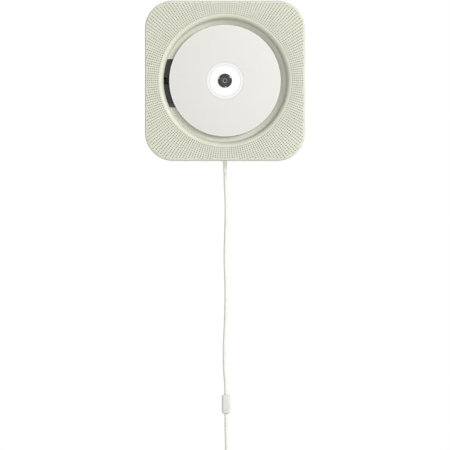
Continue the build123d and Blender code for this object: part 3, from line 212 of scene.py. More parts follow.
def workedMetal(name, low, high, roughness=0.3, grain=0.3, depth=0.004, stretch=(1, 1, 1)):
    material, tree, shader, where = newMaterial(name)  # tool marks, drawn out along an axis
    drawn = addNode(tree, "ShaderNodeMapping", {"Scale": stretch}, {"Vector": where})
    marks = addNode(tree, "ShaderNodeTexNoise", {"Scale": 1 / grain, "Detail": 3.0}, {"Vector": drawn})
    dressSurface(tree, (marks, [(0.3, low), (0.7, high)]), (marks, roughness + 0.05, roughness - 0.04),
                 (marks, depth))
    shader.inputs["Metallic"].default_value = 1.0
    return material


def zincSheet(name, low, high, spangle=3.0, grain=0.4):  # spangle and grain in mm
    material, tree, shader, where = newMaterial(name)
    cells = addNode(tree, "ShaderNodeTexVoronoi", {"Scale": 1 / spangle}, {"Vector": where})
    tone = addNode(tree, "ShaderNodeSeparateXYZ", {}, {"Vector": cells.outputs["Color"]})
    fine = addNode(tree, "ShaderNodeTexNoise", {"Scale": 1 / grain, "Detail": 2.0}, {"Vector": where})
    dressSurface(tree, (tone, [(0.0, low), (1.0, high)]), (tone, 0.34, 0.46), (fine, 0.006))
    shader.inputs["Metallic"].default_value = 1.0
    return material


disc = {
    # radius in mm and colour: clear edge, hub ring with a grey line of painted shade over the stacking
    # groove, step ring, print, clear rim
    "print": [
        (7.4, "d4d5d5"), (8.2, "e0e0df"), (15.9, "e0e0df"), (16.4, "c9c9c8"), (17.0, "c9c9c8"),
        (17.5, "d3d3d1"), (19.0, "d3d3d1"), (19.5, "c1c0bd"), (20.8, "c1c0bd"), (21.6, "c6c5c1"),
        (58.7, "c6c5c1"), (59.2, "cbcccb"),
    ],
    "printStart": 21.0,
    "radius": 60.0,
    "holeRadius": 7.5,
    "holeEdge": 0.1,
    "grooveRadius": 16.7,
    "grooveHalf": 0.4,
    "grooveDepth": 0.2,
    "grooveSlope": 0.12,
    "grooveSlopeDepth": 0.14,
    "grooveFloor": 0.1,
    "edgeRound": 0.2,
    "divisions": 256,
}


def discPrintAndShade(name):  # screen print over polycarbonate, with a grey line of painted shade over the stacking groove: flat satin white outside, glossier bare rings inside
    material, tree, shader, where = newMaterial(name)
    across = addNode(tree, "ShaderNodeVectorMath", {"operation": "MULTIPLY"}, {0: where, 1: (1, 0, 1)})
    radius = addNode(tree, "ShaderNodeVectorMath", {"operation": "LENGTH"}, {0: across}).outputs["Value"]
    share = addNode(tree, "ShaderNodeMath", {"operation": "DIVIDE"}, {0: radius, 1: disc["radius"]})
    inside = addNode(tree, "ShaderNodeMath", {"operation": "LESS_THAN"}, {0: radius, 1: disc["printStart"]})
    fine = addNode(tree, "ShaderNodeTexNoise", {"Scale": 1 / 0.9, "Detail": 2.0}, {"Vector": where})
    # print rings, and the grey line of painted shade over the groove
    printAndShadeStops = [(reach / disc["radius"], colour) for reach, colour in disc["print"]]
    dressSurface(tree, (share, printAndShadeStops), (inside, 0.34, 0.16), (fine, 0.0015))
    shader.inputs["IOR"].default_value = 1.585
    return material


def boardMask(name):  # green mask over copper tracks that stand out paler
    material, tree, shader, where = newMaterial(name)
    upright = addNode(tree, "ShaderNodeMapping", {"Rotation": (math.radians(90), 0, 0)}, {"Vector": where})
    tracks = addNode(tree, "ShaderNodeTexBrick", {
        "Color1": linear("17482b"), "Color2": linear("1c5232"), "Mortar": linear("3c7a4c"), "Scale": 1.0,
        "Mortar Size": 0.18, "Brick Width": 6.5, "Row Height": 1.3}, {"Vector": upright})
    tree.links.new(tracks.outputs["Color"], shader.inputs["Base Color"])
    shader.inputs["Roughness"].default_value = 0.32
    dressSurface(tree, height=(tracks.outputs["Fac"], 0.03))
    return material


def tintedWindow(name):  # smoked acrylic: the display shows through it
    material, tree, shader, where = newMaterial(name)
    haze, waves = (
        addNode(tree, "ShaderNodeTexNoise", {"Scale": 1 / size, "Detail": 2.0}, {"Vector": where})
        for size in (4.0, 6.0))
    dressSurface(tree, roughness=(haze, 0.04, 0.1), height=(waves, 0.002))
    shader.inputs["Base Color"].default_value = linear("8b908c")
    shader.inputs["Transmission Weight"].default_value = 0.8
    shader.inputs["IOR"].default_value = 1.49
    return material


def coatedLens(name):  # polished glass with a blue-violet anti-reflection coat
    material, tree, shader, where = newMaterial(name)
    coat = addNode(tree, "ShaderNodeTexNoise", {"Scale": 1 / 1.2, "Detail": 2.0}, {"Vector": where})
    dressSurface(tree, (coat, [(0.3, "22305c"), (0.7, "3a3570")]))
    shader.inputs["Roughness"].default_value = 0.05
    shader.inputs["IOR"].default_value = 1.6
    shader.inputs["Coat Weight"].default_value = 0.6
    shader.inputs["Coat Roughness"].default_value = 0.03
    return material


# plastics: darker and paler tone, roughness, grain and its depth in mm, IOR, patch size in mm, sheen
# metals: darker and paler tone, roughness, grain and its depth in mm, stretch of the marks
materials = {
    # spark-eroded ABS: a soft cream-grey with a dry satin sheen and a fine even grain
    "case_plastic": mouldedPlastic("satinCreamAbs", "bebeaf", "c1c1b2", 0.52, 0.45, 0.012),
    # glass-filled PPS: nearly black, slightly greyed where light grazes it
    "black_plastic": mouldedPlastic("blackGlassFilledPps", "171718", "1e1e1f", 0.5, 0.35, 0.02, 1.6, 8),
    # ABS tinted mid grey: flat and a little dusty
    "grey_plastic": mouldedPlastic("greyAbs", "4a4a4a", "525251", 0.5, 0.4, 0.015, 1.54, 6),
    # zinc-plated sheet: cool pale grey with spangles
    "bracket_steel": zincSheet("zincPlatedSheet", "aeb0b1", "d3d5d6"),
    # ground and polished steel: bright with dark reflections
    "bright_steel": workedMetal("polishedSteel", "c4c5c7", "dcdde0", 0.14, 0.2, 0.001, (0.2, 1, 1)),
    # drawn steel can: soft streaks along the draw
    "motor_can": workedMetal("drawnSteelCan", "98989a", "b6b6b8", 0.34, 0.3, 0.004, (1, 0.12, 1)),
    # zinc-plated screws: a dull blue-grey
    "screw_steel": workedMetal("zincPlatedScrewSteel", "7f8084", "a2a2a6", 0.36, 0.25, 0.004),
    # soft black rubber: matt, with a bloom of dust
    "rubber": mouldedPlastic("nitrileRubber", "1c1c1c", "272727", 0.8, 0.3, 0.02, 1.52, 5, 0.15),
    "lens_glass": coatedLens("coatedOpticalGlass"),
    "clear_window": tintedWindow("smokedAcrylic"),
    "disc_print": discPrintAndShade("polycarbonatePrintAndShade"),
    "board_green": boardMask("solderMaskedGlassEpoxy"),
    # moulded epoxy chips and switches: dull black with a fine grit
    "component_black": mouldedPlastic("mouldedEpoxy", "1a1a1b", "242425", 0.62, 0.15, 0.02, 1.55, 4),
    # vinyl-sleeved aluminium cans: cool grey with a soft shine
    "capacitor_can": workedMetal("sleevedAluminium", "a9acb0", "c6c9cd", 0.3, 0.4, 0.003),
    # liquid crystal glass: grey-green, very smooth
    "lcd": mouldedPlastic("liquidCrystalGlass", "6f7968", "7b8573", 0.14, 3.0, 0.001, 1.52, 9),
    # pressed paper pulp: dark, fibrous and fully matt
    "paper_cone": mouldedPlastic("pressedPaperPulp", "1e1e20", "2e2e30", 0.88, 0.6, 0.06, 1.5, 2, 0.1),
    # sintered ferrite: charcoal with a coarse grit
    "ferrite": mouldedPlastic("sinteredFerrite", "29292b", "363638", 0.6, 0.2, 0.02, 1.6, 3),
    # soft PVC: milky pale grey with a faint gloss
    "cord_jacket": mouldedPlastic("softPvcJacket", "cdcec8", "d5d6d1", 0.38, 0.8, 0.02, 1.53, 9),
    # hard pale PVC: evenly satin, a touch greyer than the cord
    "connector_plastic": mouldedPlastic("paleMouldedPvc", "c6c7c1", "c9cac4", 0.42, 0.45, 0.01, 1.53, 7),
    # flexible PVC relief, its colour made paler than the cord's as painted light against the shade the body
    # casts on it
    "sleeve_plastic": mouldedPlastic("greyCreamPvc", "e2e3da", "e8e9e1", 0.5, 0.4, 0.015, 1.53, 5),
    # nickel-plated brass: warm bright streaks along the stamping
    "blade_metal": workedMetal("nickelPlatedBrass", "bfbcb3", "dbd9d2", 0.22, 0.3, 0.002, (1, 1, 0.1)),
}
# steel darkened as painted shade for the shaft's drilled end and the dish inside the collar: dark with a soft
# gleam
paintedShadeSteel = workedMetal("paintedShadeSteel", "3e3e40", "505052", 0.42, 0.2, 0.002)


def dressNodes():  # every CAD node takes the material of its slot in the record
    for name, piece in nodes.items():
        material = materials[slotOf[name]]
        if not piece.material_slots:
            piece.data.materials.append(material)
        for slot in piece.material_slots:
            slot.material = material


dressNodes()
print("materials: every node has its finish")


# ---- shared piece makers
def newPiece(name, mesh):
    piece = bpy.data.objects.new(name, mesh)
    bpy.context.scene.collection.objects.link(piece)
    return piece


def freeze(piece):  # the evaluated shape as a plain mesh, and the modifiers gone
    graph = bpy.context.evaluated_depsgraph_get()
    graph.update()
    mesh = bpy.data.meshes.new_from_object(piece.evaluated_get(graph))
    piece.modifiers.clear()
    piece.data = mesh


def standIn(piece, *standsFor):  # moves with the body of what it stands for, and hides the CAD nodes it stands for
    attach(piece, bodyOf[standsFor[0]])
    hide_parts(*standsFor)
    return piece


def settle(piece, *standsFor, sharp=32, finish=None):  # a finished mesh in the place of CAD nodes
    if piece.modifiers:
        freeze(piece)
    piece.data.materials.clear()
    piece.data.materials.append(finish or materials[slotOf[standsFor[0]]])
    piece.data.shade_smooth()
    piece.data.set_sharp_from_angle(angle=math.radians(sharp))
    return standIn(piece, *standsFor)


def closeMesh(shape, name):
    bmesh.ops.recalc_face_normals(shape, faces=shape.faces)
    made = bpy.data.meshes.new(name)
    shape.to_mesh(made)
    shape.free()
    return made


def skin(shape, loops, ring=False):  # closed skin over loops in mm; ring joins the last to the first
    rings = [[shape.verts.new(Vector(point) * mm) for point in loop] for loop in loops]
    count = len(loops[0])
    for lower, upper in zip(rings, rings[1:] + (rings[:1] if ring else [])):
        for i in range(count):
            j = (i + 1) % count
            shape.faces.new((lower[i], lower[j], upper[j], upper[i]))
    if ring:
        return
    for end in (rings[0], rings[-1]):
        middle = shape.verts.new(sum((vert.co for vert in end), Vector()) / count)
        for i in range(count):
            shape.faces.new((middle, end[i], end[(i + 1) % count]))


def lathe(shape, profile, axis, centre, count, ring=False):  # profile of (radius, place along the axis)
    loops = []
    for radius, along in profile:
        loop = []
        for i in range(count):
            turn = 2 * math.pi * i / count
            a, b = radius * math.cos(turn), radius * math.sin(turn)
            if axis == "Y":
                loop.append((centre[0] + a, -along, centre[1] + b))
            elif axis == "Z":
                loop.append((centre[0] + a, b - centre[1], along))
            else:
                loop.append((along, b - centre[0], centre[1] + a))
        loops.append(loop)
    skin(shape, loops, ring)


pastCut = 1.0  # how far a cutter runs past what it cuts, in mm


def arcPoints(centreX, centreY, radius, start, end, count):  # from one angle to another, in degrees
    turns = [math.radians(start + (end - start) * i / count) for i in range(count + 1)]
    return [(centreX + radius * math.cos(t), centreY + radius * math.sin(t)) for t in turns]


def slotOutline(x, y, length, width, steps=14):
    r = width / 2
    reach = length / 2 - r
    return arcPoints(x + reach, y, r, -90, 90, steps) + arcPoints(x - reach, y, r, 90, 270, steps)


def roundedOutline(x, y, width, height, corner, steps=8):
    a, b = width / 2 - corner, height / 2 - corner
    corners = ((a, b, 0), (-a, b, 90), (-a, -b, 180), (a, -b, 270))
    return [point for right, up, start in corners
            for point in arcPoints(x + right, y + up, corner, start, start + 90, steps)]


def uprightLoops(outlines):  # outlines of (x, level) at heights z
    return [[(a, -b, z) for a, b in outline] for outline, z in outlines]


def edgeSteps(size, steps=4):  # (inset, drop) of a quarter round, from its side to its face
    turns = [math.radians(90 * i / steps) for i in range(steps + 1)]
    return [(size - size * math.cos(t), size - size * math.sin(t)) for t in turns]


def prism(shape, outline, axis, start, end):  # closed prism over a flat outline
    def place(a, b, along):
        return Vector((a, -b, along) if axis == "Z" else (a, -along, b)) * mm
    low = [shape.verts.new(place(a, b, start)) for a, b in outline]
    high = [shape.verts.new(place(a, b, end)) for a, b in outline]
    shape.faces.new(low)
    shape.faces.new(list(reversed(high)))
    for i in range(len(outline)):
        j = (i + 1) % len(outline)
        shape.faces.new((low[j], low[i], high[i], high[j]))


def cutAway(piece, cutter):  # takes the cutter's shape out of the piece
    tool = newPiece("cutter", cutter)
    cut = piece.modifiers.new("cut", "BOOLEAN")
    cut.operation, cut.solver, cut.object = "DIFFERENCE", "MANIFOLD", tool
    freeze(piece)
    bpy.data.objects.remove(tool)


def mergedCopy(node):  # a node's mesh is loose triangles, so a copy is merged
    shape = bmesh.new()
    shape.from_mesh(nodes[node].data)
    bmesh.ops.remove_doubles(shape, verts=shape.verts, dist=0.001 * mm)
    return shape


def meshPiece(name, shape):
    return newPiece(name, closeMesh(shape, name))


def softened(name, node, width, flat=0.5, sharp=40):  # a merged copy with its sharp edges broken
    shape = mergedCopy(node)
    bmesh.ops.dissolve_limit(shape, angle_limit=math.radians(flat), verts=shape.verts, edges=shape.edges)
    piece = meshPiece(name, shape)
    edge = piece.modifiers.new("edge", "BEVEL")
    edge.width, edge.segments, edge.limit_method = width * mm, 2, "ANGLE"
    edge.angle_limit = math.radians(sharp)
    return settle(piece, node)


def runTree(piece, tree, values):  # puts the tree on a piece, sets its inputs and keeps the result as a mesh
    modifier = piece.modifiers.new(tree.name, "NODES")
    modifier.node_group = tree
    for item in tree.interface.items_tree:
        if item.item_type == "SOCKET" and item.in_out == "INPUT" and item.name in values:
            modifier[item.identifier] = values[item.name]
    freeze(piece)


def newTree(name, sizes):  # a tree with an input for each size, and its sockets by name
    tree = bpy.data.node_groups.new(name, "GeometryNodeTree")
    tree.interface.new_socket(name="Geometry", in_out="INPUT", socket_type="NodeSocketGeometry")
    for key, value in sizes.items():
        kind = "NodeSocketInt" if isinstance(value, int) else "NodeSocketFloat"
        tree.interface.new_socket(name=key, in_out="INPUT", socket_type=kind)
    tree.interface.new_socket(name="Geometry", in_out="OUTPUT", socket_type="NodeSocketGeometry")
    known = {socket.name: socket for socket in addNode(tree, "NodeGroupInput").outputs if socket.name}
    known["index"] = addNode(tree, "GeometryNodeInputIndex")
    return tree, known


def workOut(tree, known, steps):  # lines of arithmetic: each names its result, which later lines may use
    for name, operation, *parts in steps:
        sources = {place: known.get(part, part) for place, part in enumerate(parts)}
        known[name] = addNode(tree, "ShaderNodeMath", {"operation": operation}, sources)


def endTree(tree, geometry, material):  # plain geometry with its material, because the export drops instances
    plain = addNode(tree, "GeometryNodeRealizeInstances", {}, {"Geometry": geometry})
    painted = addNode(tree, "GeometryNodeSetMaterial", {"Material": material}, {"Geometry": plain})
    addNode(tree, "NodeGroupOutput", {}, {"Geometry": painted})
    return tree


# ---- leads and what hangs on them
leads = {
    "radius": 1.8,
    "level": 16.0,
    "plugX": 1.1,
    "coilX": 1.6,
    "coilZ": -430.0,
    "coilRadius": 24.0,
    "coilLayers": 4,
    "halfTurns": 4,  # in each layer
    "coilPitch": 4.1,
    "pointsPerHalfTurn": 8,
    "adapterTop": -459.0,
    "upperPath": [  # x, how far it swings forward, and z, from the switch down
        (0.0, 0.0, -69.0), (0.0, 0.0, -108.0), (1.5, 0.3, -130.0), (1.2, -0.4, -156.0), (-0.1, -0.2, -190.0),
        (1.3, 0.4, -221.0), (0.9, 0.0, -254.0), (-0.9, -0.3, -290.0), (-0.4, 0.0, -314.0),
    ],
    "upperEnd": (-327.0, -338.3),
    "plugRun": 11.0,  # below the plug: a straight start, a slight bow, and where the bow ends
    "bow": 0.2,
    "bowDrop": 32.0,
    "bowEnd": 52.0,
    "coilRun": 6.0,
    "tailRun": 18.0,
    "tailSink": 2.0,
    "curveSteps": 8,
    "roundSteps": 5,
}
sleeve = {
    # radius and height of the strain relief, from the switch down to its tip
    "profile": [(2.5, -69.3), (2.5, -85.0), (2.3, -86.2), (2.2, -88.0), (2.05, -96.4), (2.02, -97.3),
                (1.96, -97.8), (1.88, -98.0)],
    "bore": 1.83,
    "divisions": 48,
}
connector = {
    "width": 9.2,
    "depth": 7.4,
    "corner": 2.2,
    "leastCorner": 0.3,
    "edge": 0.25,
    "topRound": 1.1,
    "collarRadius": 2.5,
    "collarHeight": 0.5,
    "collarEdge": 0.15,
    "partingGap": 0.05,
    "neckLength": 1.6,
    "neckRadius": 2.5,
    "neckEdge": 0.2,
    "neckShoulder": [(0.9, -0.55), (0.35, -0.15), (0.08, 0.15), (0, 0.5)],  # inset, height from the neck
}
adapter = {
    "width": 34.0,
    "depth": 24.0,
    "corner": 5.0,
    "leastCorner": 0.5,
    "reliefLength": 11.0,
    "reliefFoot": 3.4,
    "reliefFlare": 0.5,
    "reliefSink": 1.0,
    "reliefTip": 2.3,
    "tipEdge": 0.3,
    "tipInset": 0.25,
    "reliefRibs": 4,
    "reliefDivisions": 40,
    "firstRib": 0.9,
    "ribStep": 2.2,
    "ribGroove": 0.45,
    "ribGrooveStart": 0.2,
    "ribGrooveEnd": 0.9,
    "ribEnd": 1.1,
    "ribInset": 0.05,
    "seamHeight": 9.0,
    "seamDepth": 0.35,
    "seamHalf": 0.35,
    "seamFloorHalf": 0.2,
    "footRound": 1.5,
    "topRound": 2.5,
    "bladeHole": 1.6,
    "bladeHoleHeight": 5.2,
    "bladeHoleDivisions": 24,
}


def leadCurve(name, places):
    curve = bpy.data.curves.new(name, "CURVE")
    curve.dimensions = "3D"
    spline = curve.splines.new("NURBS")
    spline.points.add(len(places) - 1)
    for point, place in zip(spline.points, places):
        point.co = (place[0] * mm, place[1] * mm, place[2] * mm, 1)
    spline.order_u = 3
    spline.use_endpoint_u = True
    curve.resolution_u = leads["curveSteps"]
    curve.bevel_depth = leads["radius"] * mm
    curve.bevel_resolution = leads["roundSteps"]
    curve.use_fill_caps = True
    curve.materials.append(materials["cord_jacket"])
    return newPiece(name, curve)


def coilPlaces():  # piled half turns that spiral in and out again, climbing where the spiral reverses
    w = leads
    places = []
    radius, step = w["coilRadius"], -w["coilPitch"] / 2
    x, level, rightward, below = w["coilX"], w["level"], True, True
    for layer in range(w["coilLayers"]):
        last = layer == w["coilLayers"] - 1
        for halfTurn in range(w["halfTurns"] + (0 if last else 1)):
            climbs = not last and halfTurn == w["halfTurns"]
            if last and halfTurn == w["halfTurns"] - 1:
                break
            side = 1 if rightward else -1
            centre = x + side * radius
            count = w["pointsPerHalfTurn"]
            outer = radius / math.cos(math.pi / (2 * count))
            for index in range(count):
                share = (index + 0.5) / count
                turn = math.pi * share
                rise = share * share * (3 - 2 * share) * w["coilPitch"] if climbs else 0
                drop = -1 if below else 1
                places.append((centre - side * outer * math.cos(turn), -(level + rise),
                               w["coilZ"] + drop * outer * math.sin(turn)))
            x += 2 * side * radius
            rightward, below = not rightward, not below
            if climbs:
                level += w["coilPitch"]
                step = -step
            radius += step
    return places, x, level


def makeSleeve():
    shape = bmesh.new()
    outer, bore = sleeve["profile"], sleeve["bore"]
    profile = outer + [(bore, outer[-1][1]), (bore, outer[0][1])]
    lathe(shape, profile, "Z", (0, leads["level"]), sleeve["divisions"], ring=True)
    return settle(meshPiece("strainRelief", shape), "cord_sleeve")


def makeConnector():  # socket above, plug below, with a fine parting line between them
    c = connector
    low, high = (corner.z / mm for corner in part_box("dc_socket"))
    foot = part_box("dc_plug")[0].z / mm

    def outline(inset):
        return roundedOutline(leads["plugX"], leads["level"], c["width"] - 2 * inset, c["depth"] - 2 * inset,
                              max(c["corner"] - inset, c["leastCorner"]))

    def tube(radius):  # a circle with the outline's number of points
        return roundedOutline(leads["plugX"], leads["level"], 2 * radius, 2 * radius, radius - 0.001)
    shoulder = high - c["collarHeight"]
    socket = bmesh.new()
    skin(socket, uprightLoops(
        [(outline(inset), low + rise) for inset, rise in reversed(edgeSteps(c["edge"], 2))]
        + [(outline(inset), shoulder - drop) for inset, drop in edgeSteps(c["topRound"], 5)]
        + [(tube(c["collarRadius"]), shoulder), (tube(c["collarRadius"]), high - c["collarEdge"]),
           (tube(c["collarRadius"] - c["collarEdge"]), high)]))
    plug = bmesh.new()
    neck = foot + c["neckLength"]
    skin(plug, uprightLoops(
        [(tube(c["neckRadius"] - c["neckEdge"]), foot), (tube(c["neckRadius"]), foot + c["neckEdge"])]
        + [(outline(inset), neck + rise) for inset, rise in c["neckShoulder"]]
        + [(outline(inset), low - c["partingGap"] - drop) for inset, drop in edgeSteps(c["edge"], 2)]))
    return (settle(meshPiece("inlineSocket", socket), "dc_socket"),
            settle(meshPiece("inlinePlug", plug), "dc_plug"))


def makeAdapter(x, level):  # two-shell housing with a parting groove, a ribbed relief, and pierced blades
    a = adapter
    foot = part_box("ac_adapter")[0].z / mm
    top = leads["adapterTop"] - a["reliefLength"]

    def outline(inset):
        corner = max(a["corner"] - inset, a["leastCorner"])
        return roundedOutline(x, level, a["width"] - 2 * inset, a["depth"] - 2 * inset, corner)
    seam = foot + a["seamHeight"]
    shape = bmesh.new()
    skin(shape, uprightLoops(
        [(outline(inset), foot + rise) for inset, rise in reversed(edgeSteps(a["footRound"]))]
        + [(outline(0), seam - a["seamHalf"]), (outline(a["seamDepth"]), seam - a["seamFloorHalf"]),
           (outline(a["seamDepth"]), seam + a["seamFloorHalf"]), (outline(0), seam + a["seamHalf"])]
        + [(outline(inset), top - drop) for inset, drop in edgeSteps(a["topRound"], 6)]))
    relief = [(a["reliefFoot"] + a["reliefFlare"], top - a["reliefSink"]),
              (a["reliefFoot"], top + a["reliefFlare"])]
    for rib in range(a["reliefRibs"]):
        z = top + a["firstRib"] + rib * a["ribStep"]
        taper = a["reliefFoot"] + (a["reliefTip"] - a["reliefFoot"]) * (z - top) / a["reliefLength"]
        relief += [(taper, z), (taper - a["ribGroove"], z + a["ribGrooveStart"]),
                   (taper - a["ribGroove"], z + a["ribGrooveEnd"]), (taper - a["ribInset"], z + a["ribEnd"])]
    relief += [(a["reliefTip"], leads["adapterTop"] - a["tipEdge"]),
               (a["reliefTip"] - a["tipInset"], leads["adapterTop"])]
    lathe(shape, relief, "Z", (x, level), a["reliefDivisions"])
    box = settle(meshPiece("mainsAdapter", shape), "ac_adapter")
    holes = bmesh.new()
    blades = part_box("adapter_blades")
    ends = (blades[0].x / mm - pastCut, blades[1].x / mm + pastCut)
    height = blades[0].z / mm + a["bladeHoleHeight"]
    lathe(holes, [(a["bladeHole"], end) for end in ends], "X", (level, height), a["bladeHoleDivisions"])
    pins = meshPiece("mainsBlades", mergedCopy("adapter_blades"))
    cutAway(pins, closeMesh(holes, "bladeHoles"))
    return box, settle(pins, "adapter_blades")


def makeLeads():
    w = leads
    level = w["level"]
    upperPlaces = [(x, -level - forward, z) for x, forward, z in w["upperPath"]]
    upperPlaces += [(w["plugX"], -level, z) for z in w["upperEnd"]]
    upper = standIn(leadCurve("pullCord", upperPlaces), "cord_upper")
    socket, plug = makeConnector()
    makeSleeve()

    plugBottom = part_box("dc_plug")[0].z / mm
    coil, tailX, tailLevel = coilPlaces()
    lowerPlaces = [
        (w["plugX"], -level, plugBottom), (w["plugX"], -level, plugBottom - w["plugRun"]),
        (w["coilX"] + w["bow"], -level - w["bow"], plugBottom - w["bowDrop"]),
        (w["coilX"], -level, plugBottom - w["bowEnd"]),
        (w["coilX"], -level, w["coilZ"] + w["coilRun"]),
    ] + coil + [
        (tailX, -tailLevel, w["coilZ"] - w["coilRun"]),
        (tailX, -tailLevel, w["coilZ"] - w["tailRun"]),
        (tailX, -tailLevel, w["adapterTop"] - w["tailSink"]),
    ]
    lower = standIn(leadCurve("adapterLead", lowerPlaces), "cord_lower", "cord_coil", "cord_tail")
    box, blades = makeAdapter(tailX, tailLevel)
    tie = softened("coilTie", "cord_tie", 0.4)


makeLeads()
print("leads: pull cord, in-line connector, adapter lead and adapter are in place")

# ---- front panel
front = {
    "corner": 30.0,
    "edgeRound": 1.8,
    "seamLevel": 10.0,
    "seamEdge": 0.3,
    "faceLevel": 41.0,
    "wall": 2.2,
    "plateBack": 38.6,
    "recessRadius": 66.1,
    "floorLevel": 31.5,
    "floorBack": 29.3,
    "footRound": 1.4,
    "draft": 10.0,
    "lip": 4.3,
    "lipAngles": (10, 19, 29, 39, 50, 60, 70, 80, 90),
    "cupRound": 1.9,
    "cupAngles": (90, 60, 30, 10),
    "cupFoot": 68.25,
    "windowTop": 23.3,
    "windowBottom": -28.6,
    "windowRight": 20.0,
    "windowCorner": 4.0,
    "windowOverlap": 0.15,
    "keyLevel": 22.0,
    "keyLength": 11.6,
    "keyWidth": 5.6,
    "displayLength": 26.2,
    "displayWidth": 9.2,
    "displayCorner": 1.6,
    "cordLevel": 16.0,
    "cordHole": 4.15,
    "divisions": 400,
}
rows = {
    "Row count": 200,
    "First ring": 71.35,
    "Ring pitch": 2.13,
    "Ring count": 17,
    "Hole length": 0.8,
    "Hole width": 0.58,
    "Hole depth": 1.15,
    "Through stretch": 2.8,
    "Through growth": 0.78,
    "Plain border": 1.3,
    "Half width": 86.0,
    "Corner": front["corner"],
    "Face level": front["faceLevel"],
    "Speaker offset": 63.0,
    "Speaker radius": 13.4,
}


def roundedReach(angle, half, corner):  # distance from the middle of a rounded square to its edge
    c, s = abs(math.cos(angle)), abs(math.sin(angle))
    straight = half - corner
    if min(c, s) * half / max(c, s) <= straight:
        return half / max(c, s)
    along = straight * (c + s)
    return along + math.sqrt(along ** 2 - 2 * straight ** 2 + corner ** 2)


def shellRings():  # (inset from the outer outline or None, radius, level) from the floor's front to its back
    f = front
    draft = math.radians(f["draft"])
    lipLevel = f["faceLevel"] - f["lip"]
    lipStart = lipLevel + f["lip"] * math.sin(draft)
    wallTop = f["recessRadius"] + (lipStart - f["floorLevel"]) * math.tan(draft)
    lipCentre = wallTop + f["lip"] * math.cos(draft)

    def rounded(radius, angles):  # the lip, or the hollow side of it behind
        return [(None, lipCentre - radius * math.cos(math.radians(t)),
                 lipLevel + radius * math.sin(math.radians(t))) for t in angles]
    rings = [(None, f["recessRadius"] - inset, f["floorLevel"] + rise)
             for rise, inset in edgeSteps(f["footRound"])]
    rings += rounded(f["lip"], f["lipAngles"])
    rings += [(inset, None, f["faceLevel"] - drop) for drop, inset in edgeSteps(f["edgeRound"], 6)]
    rings += [(0, None, f["seamLevel"] + f["seamEdge"]), (f["seamEdge"], None, f["seamLevel"]),
              (f["wall"], None, f["seamLevel"]), (f["wall"], None, f["plateBack"])]
    rings += rounded(f["cupRound"], f["cupAngles"])
    rings += [(None, f["cupFoot"], f["floorBack"])]
    return rings


def shellMesh():
    f = front
    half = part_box("front_panel")[1].x / mm
    count = f["divisions"]
    loops = []
    for inset, radius, level in shellRings():
        loop = []
        for i in range(count):
            angle = 2 * math.pi * (i + 0.5) / count
            reach = radius if inset is None else roundedReach(angle, half - inset, f["corner"] - inset)
            loop.append((reach * math.cos(angle), -level, reach * math.sin(angle)))
        loops.append(loop)
    shape = bmesh.new()
    skin(shape, loops)
    return closeMesh(shape, "frontShell")


def openingsMesh():
    f = front
    shape = bmesh.new()
    r, corner = f["recessRadius"], f["windowCorner"]
    low, high = (math.degrees(math.asin(f[side] / r)) for side in ("windowBottom", "windowTop"))
    window = arcPoints(0, 0, r + f["windowOverlap"], 180 - high, 180 - low, 24)
    window += arcPoints(f["windowRight"] - corner, f["windowBottom"] + corner, corner, -90, 0, 8)
    window += arcPoints(f["windowRight"] - corner, f["windowTop"] - corner, corner, 0, 90, 8)
    prism(shape, window, "Y", f["floorBack"] - pastCut, f["floorLevel"] + f["footRound"])
    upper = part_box("front_panel")[1].z / mm
    wallCut = (upper - f["wall"] - pastCut, upper + pastCut)
    for name in keys["symbols"]:
        middle = sum(end.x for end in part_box(name)) / 2 / mm
        prism(shape, slotOutline(middle, f["keyLevel"], f["keyLength"], f["keyWidth"]), "Z", *wallCut)
    display = roundedOutline(0, f["keyLevel"], f["displayLength"], f["displayWidth"], f["displayCorner"])
    prism(shape, display, "Z", *wallCut)
    cordOutline = arcPoints(0, f["cordLevel"], f["cordHole"], 0, 350, 35)
    prism(shape, cordOutline, "Z", -wallCut[1], -wallCut[0])
    return closeMesh(shape, "openings")


